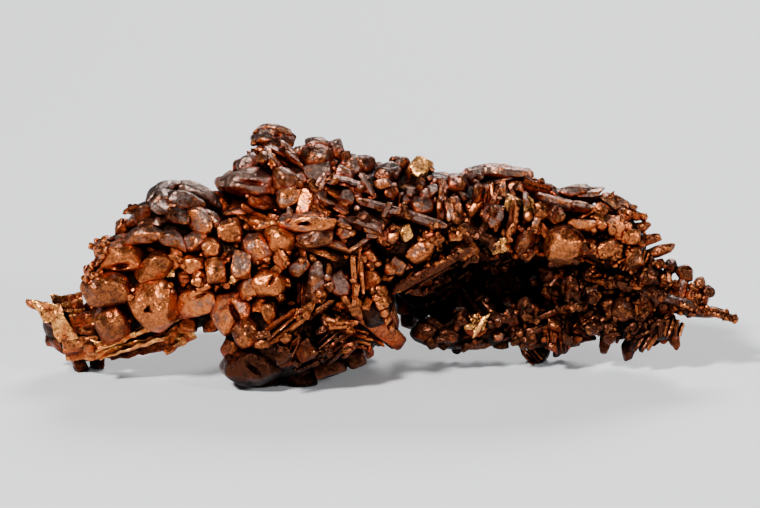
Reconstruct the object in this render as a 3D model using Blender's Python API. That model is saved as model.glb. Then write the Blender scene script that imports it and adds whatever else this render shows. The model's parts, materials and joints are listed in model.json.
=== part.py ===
"""A native copper nugget: one intergrown mass of copper crystals, about 142 mm long, standing on its belly.

Blender script, in metres, +Z up. The nugget is drawn from its front, on a flat plate that leans back.
"Across" is millimetres from the plate's left edge, "down" is millimetres from its top edge, and
"toward" is millimetres out of the plate, to the person who looks at it.

It is made in three steps. Rounded core masses give the bulk. Crystals are set half into the core: worn
cubes, many-sided boulders, rods, blades and spikes, each bounded by flat faces. A Boolean union then
fuses everything into the one solid that the real piece is, and a last cut gives its feet flat contact
faces on the ground.
"""

import math
import random

import bmesh
import bpy
from mathutils import Matrix, Vector

MM = 0.001
NODE = "native_copper"
COPPER = {"colour": (0.42, 0.17, 0.09, 1.0), "metallic": 0.9, "roughness": 0.42}

# The plate, in millimetres: the nugget's length and left end, and the place of the ground's front line.
LENGTH = 142.4
LEFT_END = 5.0
PLATE_MIDDLE = LEFT_END + LENGTH / 2
GROUND_DOWN = 77.6
GROUND_TOWARD = 4.0
LEAN = math.radians(15.0)
# How far the nugget's middle lies behind the ground's front line, so that it is centred on the origin.
DEPTH_MIDDLE = 12.9
# How much of each foot's tip the ground cuts off.
FOOT_TRIM = 0.4
GROUND_BLOCK = (0.3, 0.3, 0.1)

# How worn the crystals are: how far a face leans from the ideal form, and how far out it lies, with 1.0
# at the crystal's full half width.
SEED = 29
FACE_LEAN = 0.16
FACE_DISTANCE = (0.86, 0.98)
CORNER_DISTANCE = (1.0, 1.22)
WORN_CORNERS = 3
BOULDER_FACES = 12
ROD_SIDES = 5
SPIKE_TAPER = 0.22
TUMBLE = 14
# The core masses have few faces, so they are made a little larger to keep their bulk.
CORE_SIZE = 1.1
# Corners closer than this, on a crystal that is 2 wide, are merged.
CORNER_GAP = 0.02
BLANK_CUBE = 2.3

# Crystals on the sides that the plate doesn't show: how many, and their size in millimetres.
BACK_SEED = 31
BACK_CRYSTALS = 34
BACK_SIZE = (6.5, 11.0)
# Two of them stand no closer than this share of their size.
BACK_SPACING = 0.6
# A crystal's three half widths each differ from its size by a factor in this range.
BACK_SHAPE = (0.7, 1.2)
# A thin core mass takes smaller crystals: this share of the full size, and more for its least half width
# over this many millimetres.
THIN_SHARE = 0.45
THICK_MASS = 12
# A place this deep in another core mass, with 1 at its surface, is hidden in the nugget.
BURIED = 0.86
# How many places round a crystal are tested for whether the core hides them.
RING = 8

# Core masses: across, down, toward, half widths in the same order, turn in degrees.
CORE = (
    (27.0, 57.5, -0.5, 8.6, 8.2, 8.0, 20),
    (35.0, 47.5, -1.0, 9.0, 9.2, 9.0, 30),
    (47.0, 53.0, 0.0, 11.5, 10.5, 11.0, 0),
    (53.0, 37.5, -6.0, 8.0, 7.0, 7.0, 10),
    (62.0, 38.0, -5.0, 9.0, 9.2, 9.0, 0),
    (72.0, 41.0, -4.0, 11.0, 8.0, 9.0, 0),
    (56.5, 67.0, 2.0, 10.0, 8.6, 10.5, 0),
    (65.0, 65.5, 1.0, 8.6, 9.2, 9.0, 0),
    (64.0, 51.0, 1.0, 13.0, 10.5, 10.5, 0),
    (79.0, 47.0, -1.0, 12.0, 9.0, 9.0, -10),
    (84.0, 38.6, -3.0, 9.0, 4.6, 6.0, 0),
    (93.0, 43.5, -2.0, 14.0, 7.4, 9.0, 0),
    (109.0, 45.0, -2.0, 14.0, 7.2, 8.0, -8),
    (121.0, 48.0, -2.5, 8.5, 6.4, 6.5, -20),
    (128.5, 56.0, -3.0, 6.5, 4.0, 4.5, -20),
    (136.0, 61.0, -3.0, 8.0, 1.9, 2.2, -14),
    (94.0, 66.0, -11.0, 12.0, 4.0, 6.5, 4),
    (109.0, 65.0, -11.0, 11.0, 4.8, 6.5, 0),
    (124.0, 62.5, -8.0, 10.0, 5.2, 6.0, 0),
    (131.0, 64.6, -6.0, 5.0, 3.4, 4.0, -20),
    (13.0, 65.0, -7.0, 5.0, 4.6, 4.0, -30),
    (17.5, 67.6, -7.0, 5.4, 4.8, 4.8, 0),
    (25.0, 52.0, -1.5, 6.0, 5.4, 6.0, 0),
    (27.0, 66.5, -4.5, 11.5, 3.4, 4.6, 6),
    (37.0, 59.5, -3.0, 9.0, 6.6, 7.0, 10),
    (73.5, 60.5, 2.0, 5.4, 5.6, 8.0, -40),
    (64.0, 54.0, -12.0, 16.0, 12.0, 9.0, 0),
    (96.0, 56.0, -14.0, 18.0, 9.5, 5.0, -4),
    (118.0, 55.5, -6.5, 9.5, 6.4, 6.0, 0),
    (68.0, 66.0, -14.0, 8.0, 7.2, 7.2, 0),
)

# Many-sided crystals: across, down, wide, tall, turn in degrees, lift toward the viewer.
BOULDERS = (
    # Leafy left end
    (23.0, 64.2, 6.8, 7.6, 0, 1.4),
    # Left boulders
    (31.4, 60.8, 9.2, 9.6, 10, 1.6),
    (21.8, 57.8, 9.8, 6.4, -6, 0.8),
    (24.8, 52.4, 8.2, 5.8, 4, 0.6),
    (20.6, 49.8, 4.8, 4.8, 30, 0.0),
    (18.8, 54.2, 4.4, 4.2, 10, 0.0),
    (47.0, 62.4, 7.6, 8.4, 12, 2.0),
    (49.8, 66.4, 5.6, 5.6, 0, 1.2),
    (53.8, 56.6, 8.0, 6.0, 6, 1.6),
    (56.2, 48.0, 6.6, 5.6, -40, 1.4),
    (51.8, 49.8, 5.6, 5.4, 0, 0.9),
    (39.4, 48.6, 5.8, 4.2, 20, 0.8),
    (42.6, 49.8, 3.8, 4.0, 0, 0.6),
    # Belly
    (50.8, 73.4, 10.4, 7.2, 0, 0.0),
    # Crest
    (49.4, 36.6, 12.2, 5.4, -3, 1.0),
    (53.4, 27.6, 4.8, 4.6, 20, 0.0),
    (56.2, 27.4, 4.6, 4.2, -20, 0.0),
    (72.4, 33.4, 5.6, 4.4, 0, 0.0),
    (80.0, 33.8, 4.6, 4.8, 10, 0.0),
    (84.2, 62.6, 3.2, 3.2, 0, -0.4),
    (85.4, 66.2, 5.0, 4.0, 0, 0.4),
    # Wing
    (94.2, 36.2, 5.2, 5.6, 0, 0.0),
    (108.2, 42.4, 3.6, 3.4, 0, 1.0),
    (120.0, 45.0, 4.2, 3.4, 0, 0.6),
    (109.6, 54.4, 3.0, 4.4, 10, 1.2),
    # Lower branch and tail
    (124.6, 61.8, 4.8, 4.6, 20, 0.6),
)

# Worn cubes and bricks, in the same way.
BLOCKS = (
    # Leafy left end
    (35.2, 67.4, 6.2, 4.4, 20, 0.6),
    (16.6, 64.6, 6.0, 4.8, -15, 0.4),
    (12.4, 60.8, 5.6, 3.8, -10, 0.4),
    (14.6, 69.4, 5.6, 3.6, -10, 0.0),
    (9.6, 67.2, 3.2, 5.6, 15, -1.0),
    # Left boulders
    (39.8, 59.8, 9.0, 5.0, 13, 1.6),
    (48.4, 53.4, 4.2, 5.2, -4, 1.2),
    (43.6, 54.2, 4.2, 5.0, 4, 1.2),
    (39.4, 52.8, 4.8, 3.4, -8, 0.9),
    (31.4, 53.6, 8.4, 4.2, 40, 1.2),
    (50.2, 57.6, 4.4, 4.2, 25, 1.4),
    (40.8, 44.2, 7.6, 4.2, -38, 1.3),
    (32.2, 39.8, 5.6, 6.0, 10, 0.2),
    (37.0, 40.8, 7.8, 3.6, -8, 0.8),
    (36.2, 43.4, 5.2, 3.2, -12, 0.4),
    (28.8, 42.6, 4.6, 3.8, 25, 0.2),
    (24.8, 45.8, 3.8, 3.8, 10, 0.0),
    (25.6, 48.4, 4.6, 3.2, 10, 0.2),
    (46.4, 46.4, 4.6, 4.4, 20, 0.6),
    # Belly
    (59.6, 75.8, 5.6, 3.6, 5, 0.0),
    (66.0, 73.8, 6.2, 3.6, 15, 0.0),
    (71.0, 71.4, 4.0, 4.4, 20, 0.0),
    (47.2, 70.4, 4.0, 5.2, -10, 0.0),
    (61.0, 69.8, 4.2, 4.6, 20, 0.2),
    # Pointed lobe beside the hollow
    (68.2, 56.8, 4.0, 5.2, 30, 1.2),
    (73.6, 56.2, 4.4, 4.4, -20, 1.4),
    # Crest
    (49.6, 33.0, 4.6, 3.6, 35, 0.2),
    (54.4, 33.0, 4.2, 3.4, -20, 0.4),
    (51.8, 31.0, 3.6, 3.0, 30, 0.2),
    (63.4, 29.4, 4.6, 4.2, 0, 0.2),
    (67.2, 30.4, 3.8, 5.4, 15, 0.2),
    (64.0, 34.6, 4.8, 4.2, 20, 0.4),
    (68.6, 35.4, 4.2, 4.4, -20, 0.4),
    (59.6, 36.6, 4.0, 4.2, 10, 0.4),
    (52.6, 40.4, 6.0, 3.2, -12, 0.8),
    (58.0, 40.0, 5.4, 4.6, 15, 1.0),
    (61.8, 41.0, 4.4, 5.6, -15, 1.2),
    (64.6, 41.2, 2.8, 6.0, 5, 1.2),
    (61.6, 45.0, 10.4, 3.8, -4, 1.6),
    (63.2, 48.0, 7.0, 3.2, 5, 1.2),
    (74.4, 44.8, 6.0, 3.6, -25, 1.4),
    (76.8, 35.4, 4.0, 3.2, 0, 0.2),
    (84.0, 34.2, 4.4, 5.6, -25, 0.4),
    (90.6, 42.0, 3.8, 4.6, 10, 0.8),
    (84.0, 50.4, 5.4, 3.4, 30, 0.2),
    # Wing
    (98.0, 34.6, 4.6, 3.4, 5, 0.2),
    (102.8, 35.2, 5.4, 4.0, -20, 0.4),
    (98.4, 43.4, 3.8, 4.6, -10, 1.0),
    (107.6, 38.4, 5.8, 4.4, -20, 0.4),
    (115.4, 39.2, 8.2, 3.6, 3, 0.6),
    (122.4, 41.0, 4.6, 3.8, -30, 0.4),
    (122.8, 45.6, 3.6, 4.6, 20, 0.6),
    (115.8, 45.2, 6.2, 2.8, 0, 1.4),
    (112.6, 48.6, 6.6, 6.2, -10, 2.0),
    (104.6, 48.2, 4.6, 5.4, 15, 1.4),
    (121.6, 49.6, 4.2, 4.0, 20, 1.2),
    (126.6, 51.8, 4.0, 4.6, 10, 1.0),
    (93.4, 50.0, 5.0, 4.4, -10, 1.2),
    # Lower branch and tail
    (130.0, 55.4, 3.4, 3.2, 0, 0.8),
)

# Rods, ribs and blades: from (across, down) to (across, down), thickness, lift toward the viewer.
RODS = (
    # Leafy left end
    (9.2, 61.2, 15.0, 67.0, 3.2, 1.4),
    # Left boulders
    (29.8, 38.6, 35.0, 36.2, 2.0, 0.6),
    (34.4, 36.2, 42.8, 40.4, 2.4, 0.8),
    (39.8, 40.2, 44.2, 44.8, 2.4, 1.0),
    (24.4, 49.8, 30.8, 47.0, 1.8, 1.8),
    (30.2, 47.2, 34.2, 46.6, 2.2, 1.8),
    (33.4, 46.4, 36.8, 49.2, 1.9, 1.6),
    (52.4, 68.6, 62.4, 61.4, 3.0, 2.6),
    # Belly
    (62.0, 72.6, 70.2, 65.4, 2.8, 1.2),
    (64.4, 63.2, 69.4, 69.0, 2.6, 1.2),
    (69.8, 66.2, 75.8, 68.6, 2.4, 0.8),
    (66.8, 64.2, 71.8, 64.4, 1.8, 1.6),
    # Pointed lobe beside the hollow
    (69.8, 60.6, 80.2, 68.5, 4.4, 2.8),
    (75.0, 57.8, 79.0, 66.4, 2.6, 2.2),
    # Crest
    (46.6, 41.0, 58.2, 46.2, 1.8, 1.4),
    (46.2, 42.4, 51.8, 45.8, 2.0, 1.6),
    (52.4, 28.2, 60.8, 33.6, 2.4, 1.0),
    (64.8, 38.2, 73.0, 41.2, 1.9, 1.6),
    (72.0, 40.4, 88.6, 45.2, 2.4, 2.4),
    (78.4, 58.0, 94.2, 49.2, 3.0, 1.8),
    (57.0, 47.6, 66.8, 51.6, 1.8, 1.6),
    (63.6, 53.6, 62.8, 61.8, 4.2, 1.6),
    # Wing
    (92.8, 45.4, 103.0, 50.4, 2.2, 2.4),
    (99.2, 36.4, 96.8, 43.4, 2.2, 1.2),
    (106.0, 42.8, 109.8, 47.4, 2.4, 0.8),
    (123.6, 47.4, 128.4, 48.8, 2.2, 1.0),
    # Lower branch and tail
    (128.4, 58.2, 138.8, 61.4, 1.8, 1.6),
    (137.6, 61.2, 144.8, 63.0, 2.8, 0.4),
    (143.4, 62.8, 147.4, 63.8, 1.9, 0.0),
    (111.0, 64.2, 112.4, 71.2, 3.2, 0.8),
    (131.0, 64.4, 128.4, 70.2, 1.8, 0.6),
    (129.2, 64.6, 126.6, 70.0, 1.8, 0.8),
    (134.6, 63.6, 135.4, 68.8, 3.2, 0.6),
    (132.2, 64.0, 132.6, 67.2, 1.6, 0.6),
    (88.4, 68.0, 94.8, 61.6, 2.4, 0.6),
    (99.0, 64.0, 108.6, 62.6, 2.0, 0.2),
    (113.0, 69.6, 118.0, 67.0, 2.2, 0.2),
)

# Spikes that stand out of the outline: root (across, down), tip (across, down), thickness, toward.
SPIKES = (
    (9.6, 62.4, 5.0, 60.3, 1.8, -6.0),
    (123.8, 42.2, 128.2, 43.2, 1.7, -2.0),
    (124.6, 46.4, 129.8, 44.9, 1.8, -1.5),
    (126.2, 48.8, 131.7, 47.5, 1.8, -1.0),
    (128.2, 51.6, 134.7, 49.2, 1.9, -1.5),
    (128.4, 53.2, 131.6, 52.8, 1.9, -1.0),
    (132.4, 57.8, 134.4, 52.9, 2.4, -2.5),
    (136.2, 60.2, 136.9, 54.0, 2.4, -2.5),
    (138.8, 61.0, 139.9, 55.9, 2.2, -2.5),
    (139.6, 61.2, 142.0, 58.2, 2.0, -2.5),
    (127.2, 67.0, 125.6, 73.0, 2.8, -8.5),
    (121.8, 66.6, 121.2, 72.2, 2.2, -8.5),
)

# Crystals that the nugget stands on: across, down, wide, tall, turn in degrees.
FEET = (
    (15.4, 72.8, 3.2, 4.4, 20),
    (19.0, 72.4, 3.2, 3.8, 0),
    (108.0, 70.8, 4.6, 5.2, -35),
    (52.0, 75.2, 9.6, 4.8, 0),
    (60.6, 75.6, 6.4, 4.2, 0),
    (69.0, 70.0, 7.0, 6.4, 0),
)


def on_plate(across, down, toward):
    """A point of the plate, as a point of the standing nugget, both in millimetres."""
    up = GROUND_DOWN - down
    out = toward - GROUND_TOWARD
    back = up * math.sin(LEAN) - out * math.cos(LEAN) - DEPTH_MIDDLE
    height = up * math.cos(LEAN) + out * math.sin(LEAN)
    return Vector((across - PLATE_MIDDLE, back, height))


def plate_axes(turn, pitch=0.0, yaw=0.0):
    """The directions of a crystal's width, height and depth, as the columns of a matrix."""
    corner = on_plate(0, 0, 0)
    right = on_plate(1, 0, 0) - corner
    upward = on_plate(0, -1, 0) - corner
    outward = on_plate(0, 0, 1) - corner
    plate = Matrix((right, upward, outward)).transposed()
    spin = Matrix.Rotation(math.radians(turn), 3, "Z")
    tumble = Matrix.Rotation(math.radians(pitch), 3, "X") @ Matrix.Rotation(math.radians(yaw), 3, "Y")
    return plate @ spin @ tumble


def core_masses(across, down):
    """For each core mass, how far it is from this place of the plate: under 1 is inside it, and its depth."""
    found = []
    for middle_across, middle_down, toward, half_across, half_down, half_toward, turn in CORE:
        angle = math.radians(turn)
        right = across - middle_across
        below = down - middle_down
        along = (right * math.cos(angle) - below * math.sin(angle)) / half_across
        beside = (below * math.cos(angle) + right * math.sin(angle)) / half_down
        found.append((along * along + beside * beside, toward, half_toward))
    return found


def core_depth(across, down):
    """How far toward the viewer the core reaches at this place, or at the nearest place that it covers."""
    masses = core_masses(across, down)
    fronts = [toward + half * math.sqrt(1 - square) for square, toward, half in masses if square < 1]
    return max(fronts) if fronts else min(masses)[1]


def leaning(rng, normal):
    """A face's direction, turned a little by wear."""
    lean = Vector([rng.uniform(-FACE_LEAN, FACE_LEAN) for _ in range(3)])
    return (normal.normalized() + lean).normalized()


def block_planes(rng):
    """Faces of a worn cube: six sides, and some corners cut away."""
    planes = []
    for axis in range(3):
        for side in (-1, 1):
            normal = Vector()
            normal[axis] = side
            planes.append((leaning(rng, normal), rng.uniform(*FACE_DISTANCE)))
    corners = [Vector((x, y, z)) for x in (-1, 1) for y in (-1, 1) for z in (-1, 1)]
    for corner in rng.sample(corners, WORN_CORNERS):
        planes.append((leaning(rng, corner), rng.uniform(*CORNER_DISTANCE)))
    return planes


def boulder_planes(rng):
    """Faces spread evenly round a ball, as on a crystal with many worn facets."""
    planes = []
    golden = math.pi * (3 - math.sqrt(5))
    phase = rng.uniform(0, math.tau)
    for i in range(BOULDER_FACES):
        height = 1 - 2 * (i + 0.5) / BOULDER_FACES
        ring = math.sqrt(1 - height * height)
        angle = phase + i * golden
        normal = Vector((ring * math.cos(angle), ring * math.sin(angle), height))
        planes.append((leaning(rng, normal), rng.uniform(*FACE_DISTANCE)))
    return planes


def rod_planes(rng):
    """Faces of a long prism that ends in a roof of two faces on each side."""
    planes = []
    start = rng.uniform(0, math.tau)
    for i in range(ROD_SIDES):
        angle = start + math.tau * i / ROD_SIDES
        planes.append((Vector((0, math.cos(angle), math.sin(angle))), rng.uniform(*FACE_DISTANCE)))
    for side in (-1, 1):
        for half in (-1, 1):
            normal = Vector((2 * side, half * math.cos(start), half * math.sin(start)))
            planes.append((normal.normalized(), rng.uniform(*FACE_DISTANCE)))
    return planes


def spike_planes(rng):
    """Faces of a prism that narrows to its far end, and a flat root."""
    planes = [(Vector((-1, 0, 0)), FACE_DISTANCE[1])]
    start = rng.uniform(0, math.tau)
    for i in range(ROD_SIDES):
        angle = start + math.tau * i / ROD_SIDES
        side = Vector((SPIKE_TAPER, math.cos(angle), math.sin(angle)))
        planes.append((side.normalized(), rng.uniform(*FACE_DISTANCE)))
        if i % 2 == 0:
            tip = Vector((1, side.y, side.z))
            planes.append((tip.normalized(), rng.uniform(*FACE_DISTANCE)))
    return planes


def crystal(centre, axes, halves, planes):
    """One crystal: its centre, its half widths along its own axes, and the flat faces that bound it."""
    return {"centre": centre, "axes": axes, "halves": Vector(halves), "planes": planes}


def front_crystals(rng):
    """The boulders and blocks, each as thick as it is wide and tall on average."""
    found = []
    for rows, faces in ((BOULDERS, boulder_planes), (BLOCKS, block_planes)):
        for across, down, wide, tall, turn, lift in rows:
            centre = on_plate(across, down, core_depth(across, down) + lift)
            axes = plate_axes(turn, rng.uniform(-TUMBLE, TUMBLE), rng.uniform(-TUMBLE, TUMBLE))
            halves = (wide / 2, tall / 2, math.sqrt(wide * tall) / 2)
            found.append(crystal(centre, axes, halves, faces(rng)))
    return found


def long_crystal(start, end, thick, planes):
    """A crystal that runs from one point to another."""
    along = (end - start).normalized()
    outward = on_plate(0, 0, 1) - on_plate(0, 0, 0)
    beside = outward.cross(along).normalized()
    axes = Matrix((along, beside, along.cross(beside))).transposed()
    halves = ((end - start).length / 2, thick / 2, thick / 2)
    return crystal((start + end) / 2, axes, halves, planes)


def long_crystals(rng):
    """The rods, which lie on the core, and the spikes, which stand out of it."""
    found = []
    for from_across, from_down, to_across, to_down, thick, lift in RODS:
        start = on_plate(from_across, from_down, core_depth(from_across, from_down) + lift)
        end = on_plate(to_across, to_down, core_depth(to_across, to_down) + lift)
        found.append(long_crystal(start, end, thick, rod_planes(rng)))
    for root_across, root_down, tip_across, tip_down, thick, toward in SPIKES:
        start = on_plate(root_across, root_down, toward)
        end = on_plate(tip_across, tip_down, toward)
        found.append(long_crystal(start, end, thick, spike_planes(rng)))
    return found


def feet(rng):
    """Crystals that reach the ground, each as far back as its place on the plate asks."""
    found = []
    for across, down, wide, tall, turn in FEET:
        halves = (wide / 2, tall / 2, math.sqrt(wide * tall) / 2)
        rise = halves[1] * FACE_DISTANCE[0] - FOOT_TRIM
        up = (GROUND_DOWN - down) * math.cos(LEAN)
        toward = GROUND_TOWARD + (rise - up) / math.sin(LEAN)
        found.append(crystal(on_plate(across, down, toward), plate_axes(turn), halves, block_planes(rng)))
    return found


def behind_core(across, down, margin):
    """Whether the core hides everything within the margin of this place from the front."""
    for i in range(RING):
        angle = math.tau * i / RING
        masses = core_masses(across + margin * math.cos(angle), down + margin * math.sin(angle))
        if min(masses)[0] > 1:
            return False
    return True


def buried(spot, own):
    """Whether a spot, given as across, down and toward, lies inside a core mass other than its own."""
    for row in CORE:
        if row is own:
            continue
        offset = [(p - middle) / half for p, middle, half in zip(spot, row[:3], row[3:6])]
        if sum(o * o for o in offset) < BURIED:
            return True
    return False


def core_place(chance):
    """A spot on the surface of the core, as across, down and toward, its direction and its mass."""
    areas = [row[3] * row[4] + row[4] * row[5] + row[3] * row[5] for row in CORE]
    row = chance.choices(CORE, areas)[0]
    direction = Vector([chance.gauss(0, 1) for _ in range(3)]).normalized()
    return [middle + d * half for middle, d, half in zip(row[:3], direction, row[3:6])], direction, row


def back_crystals(rng):
    """Crystals on the sides that the plate doesn't show, each half sunk where the core ends."""
    found = []
    chance = random.Random(BACK_SEED)
    while len(found) < BACK_CRYSTALS:
        spot, direction, row = core_place(chance)
        size = chance.uniform(*BACK_SIZE) * min(1.0, THIN_SHARE + min(row[3:6]) / THICK_MASS)
        turns = [chance.uniform(-90, 90) for _ in range(3)]
        halves = [chance.uniform(*BACK_SHAPE) * size / 2 for _ in range(3)]
        faces = chance.choice((block_planes, boulder_planes))
        centre = on_plate(*spot)
        if direction.z > 0 or centre.z < size / 2 or buried(spot, row):
            continue
        if not behind_core(spot[0], spot[1], size / 2):
            continue
        if any((centre - other["centre"]).length < BACK_SPACING * size for other in found):
            continue
        found.append(crystal(centre, plate_axes(*turns), halves, faces(rng)))
    return found


def crystal_mesh(shape):
    """The closed mesh of a crystal: a cube cut by the plane of each face, sized, turned and placed."""
    mesh = bmesh.new()
    bmesh.ops.create_cube(mesh, size=BLANK_CUBE)
    for normal, distance in shape["planes"]:
        everything = mesh.verts[:] + mesh.edges[:] + mesh.faces[:]
        point = normal * distance
        cut = bmesh.ops.bisect_plane(mesh, geom=everything, plane_co=point, plane_no=normal, clear_outer=True)
        rim = [e for e in cut["geom_cut"] if isinstance(e, bmesh.types.BMEdge)]
        if rim:
            bmesh.ops.contextual_create(mesh, geom=rim)
    bmesh.ops.remove_doubles(mesh, verts=mesh.verts[:], dist=CORNER_GAP)
    bmesh.ops.recalc_face_normals(mesh, faces=mesh.faces[:])
    place(mesh, shape["axes"] @ Matrix.Diagonal(shape["halves"]), shape["centre"])
    return mesh


def core_mesh(row):
    """One rounded mass of the core."""
    across, down, toward, *halves, turn = row
    mesh = bmesh.new()
    bmesh.ops.create_icosphere(mesh, subdivisions=1, radius=CORE_SIZE)
    place(mesh, plate_axes(turn) @ Matrix.Diagonal(halves), on_plate(across, down, toward))
    return mesh


def place(mesh, axes, centre):
    """Moves a mesh that was made round the origin to its place, and turns millimetres into metres."""
    for vertex in mesh.verts:
        vertex.co = (axes @ vertex.co + centre) * MM


def new_object(name, mesh, collection):
    """An object that holds the finished mesh."""
    data = bpy.data.meshes.new(name)
    mesh.to_mesh(data)
    mesh.free()
    made = bpy.data.objects.new(name, data)
    collection.objects.link(made)
    return made


def copper():
    """Worn copper: a warm brown metal."""
    material = bpy.data.materials.new("copper")
    material.use_nodes = True
    shader = material.node_tree.nodes["Principled BSDF"]
    shader.inputs["Base Color"].default_value = COPPER["colour"]
    shader.inputs["Metallic"].default_value = COPPER["metallic"]
    shader.inputs["Roughness"].default_value = COPPER["roughness"]
    return material


def crystal_group():
    """All the pieces that the first core mass is fused with."""
    rng = random.Random(SEED)
    group = bpy.data.collections.new("crystals")
    bpy.context.scene.collection.children.link(group)
    for i, row in enumerate(CORE[1:]):
        new_object(f"core_{i + 1:02d}", core_mesh(row), group)
    shapes = front_crystals(rng) + long_crystals(rng) + feet(rng) + back_crystals(rng)
    for i, shape in enumerate(shapes):
        new_object(f"crystal_{i + 1:03d}", crystal_mesh(shape), group)
    return group


def ground_block():
    """The space under the ground, which the feet are trimmed by."""
    mesh = bmesh.new()
    bmesh.ops.create_cube(mesh, size=1.0)
    bmesh.ops.scale(mesh, verts=mesh.verts[:], vec=GROUND_BLOCK)
    bmesh.ops.translate(mesh, verts=mesh.verts[:], vec=(0, 0, -GROUND_BLOCK[2] / 2))
    return new_object("ground", mesh, bpy.context.scene.collection)


def fused_mesh():
    """One core mass, fused with all the other pieces and trimmed by the ground.

    The exact solver leaves a few open edges where many crystals cross, so both cuts use the manifold one.
    """
    nugget = new_object("nugget", core_mesh(CORE[0]), bpy.context.scene.collection)
    fuse = nugget.modifiers.new("fuse", "BOOLEAN")
    fuse.operation = "UNION"
    fuse.solver = "MANIFOLD"
    fuse.operand_type = "COLLECTION"
    fuse.collection = crystal_group()
    stand = nugget.modifiers.new("stand", "BOOLEAN")
    stand.operation = "DIFFERENCE"
    stand.solver = "MANIFOLD"
    stand.object = ground_block()
    depsgraph = bpy.context.evaluated_depsgraph_get()
    return bpy.data.meshes.new_from_object(nugget.evaluated_get(depsgraph))


def outer_shell(data):
    """Removes the small pockets that are left between crystals inside the nugget."""
    mesh = bmesh.new()
    mesh.from_mesh(data)
    unseen = set(mesh.verts)
    shells = []
    while unseen:
        shell = []
        front = [unseen.pop()]
        while front:
            vertex = front.pop()
            shell.append(vertex)
            linked = {edge.other_vert(vertex) for edge in vertex.link_edges} & unseen
            unseen -= linked
            front.extend(linked)
        shells.append(shell)
    shells.sort(key=len)
    for pocket in shells[:-1]:
        bmesh.ops.delete(mesh, geom=pocket, context="VERTS")
    mesh.to_mesh(data)
    mesh.free()


def clear_scene():
    """Removes every object."""
    for old in list(bpy.data.objects):
        bpy.data.objects.remove(old)


def build():
    """The finished nugget, alone in the scene."""
    clear_scene()
    data = fused_mesh()
    outer_shell(data)
    clear_scene()
    data.name = NODE
    data.materials.clear()
    data.materials.append(copper())
    nugget = bpy.data.objects.new(NODE, data)
    bpy.context.scene.collection.objects.link(nugget)


build()
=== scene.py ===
# %% [markdown]
# # A native copper nugget
# The specimen is a mass of copper crystals that grew together: worn boulders on the left, a crumpled leafy
# end beyond them, a crest of grey-brown crystals, a wing of small crystals on the right, a dark hollow
# under it, and a lower branch that runs out into a thin tail. It could be sculpted by hand, but hundreds of
# crystals are quicker to grow by rule, and a rule can be read and changed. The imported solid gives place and
# size.

import json
import math
import random

import bmesh
import bpy
import numpy as np
from mathutils import Matrix, Vector
from mathutils.bvhtree import BVHTree

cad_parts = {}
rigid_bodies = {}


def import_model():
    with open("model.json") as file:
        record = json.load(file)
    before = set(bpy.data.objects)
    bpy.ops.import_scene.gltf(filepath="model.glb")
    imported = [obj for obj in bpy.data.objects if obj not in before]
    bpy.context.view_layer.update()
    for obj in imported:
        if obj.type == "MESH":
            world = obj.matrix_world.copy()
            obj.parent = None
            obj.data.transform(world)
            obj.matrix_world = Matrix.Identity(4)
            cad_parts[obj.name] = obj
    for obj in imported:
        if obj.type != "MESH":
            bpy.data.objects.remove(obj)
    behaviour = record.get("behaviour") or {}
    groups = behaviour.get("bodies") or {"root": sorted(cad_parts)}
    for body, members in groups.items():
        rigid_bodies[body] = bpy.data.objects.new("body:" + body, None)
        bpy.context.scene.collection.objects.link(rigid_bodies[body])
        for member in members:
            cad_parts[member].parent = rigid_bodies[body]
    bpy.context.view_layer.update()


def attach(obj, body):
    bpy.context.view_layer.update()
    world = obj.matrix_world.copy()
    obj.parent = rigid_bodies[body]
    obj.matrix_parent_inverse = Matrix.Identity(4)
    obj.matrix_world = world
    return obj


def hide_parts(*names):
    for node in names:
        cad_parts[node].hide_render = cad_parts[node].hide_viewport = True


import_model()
BODY = "root"
NODE = "native_copper"

# %% [markdown]
# ## The plate
# The nugget is drawn as the viewer sees it, on a plate that leans back: "across" and "down" are millimetres
# from the plate's upper left corner, and "toward" is millimetres out of it. The room's own axes would do
# too, but a crystal's place is easier to judge on a plate that faces the camera. The solid was drawn on the
# same plate, so its numbers are repeated here.

# %% The plate, and how a point on it stands in the room
MM = 0.001
LENGTH = 142.4
LEFT_END = 5.0
PLATE_MIDDLE = LEFT_END + LENGTH / 2
GROUND_DOWN = 77.6
GROUND_TOWARD = 4.0
DEPTH_MIDDLE = 12.9
LEAN = math.radians(15.0)
PICTURE = (760, 508)
MM_PER_PIXEL = 0.2

RIGHT = np.array((1.0, 0.0, 0.0))
UPWARD = np.array((0.0, math.sin(LEAN), math.cos(LEAN)))
OUTWARD = np.array((0.0, -math.cos(LEAN), math.sin(LEAN)))
PLATE = np.array((RIGHT, UPWARD, OUTWARD))
MIDDLE = np.array((0.0, DEPTH_MIDDLE, 0.0))


def on_plate(across, down, toward):
    """A point of the plate, as a point of the room, in millimetres."""
    steps = np.array((across - PLATE_MIDDLE, GROUND_DOWN - down, toward - GROUND_TOWARD))
    return steps @ PLATE - MIDDLE


def to_plate(points):
    """Points of the room, as across, down and toward."""
    right, up, out = ((points + MIDDLE) @ PLATE.T).T
    return np.column_stack((right + PLATE_MIDDLE, GROUND_DOWN - up, out + GROUND_TOWARD))


print("the plate's middle stands at", on_plate(PLATE_MIDDLE, GROUND_DOWN, GROUND_TOWARD), "mm")

# %% [markdown]
# ## The core
# The crystals grew outward from a bulk of solid copper. Without it the gaps would show right through the
# nugget. One closed body could be modelled for it, but a set of rounded masses, the same as in the solid,
# also tells each crystal how far toward the viewer the copper reaches at its place.

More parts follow.
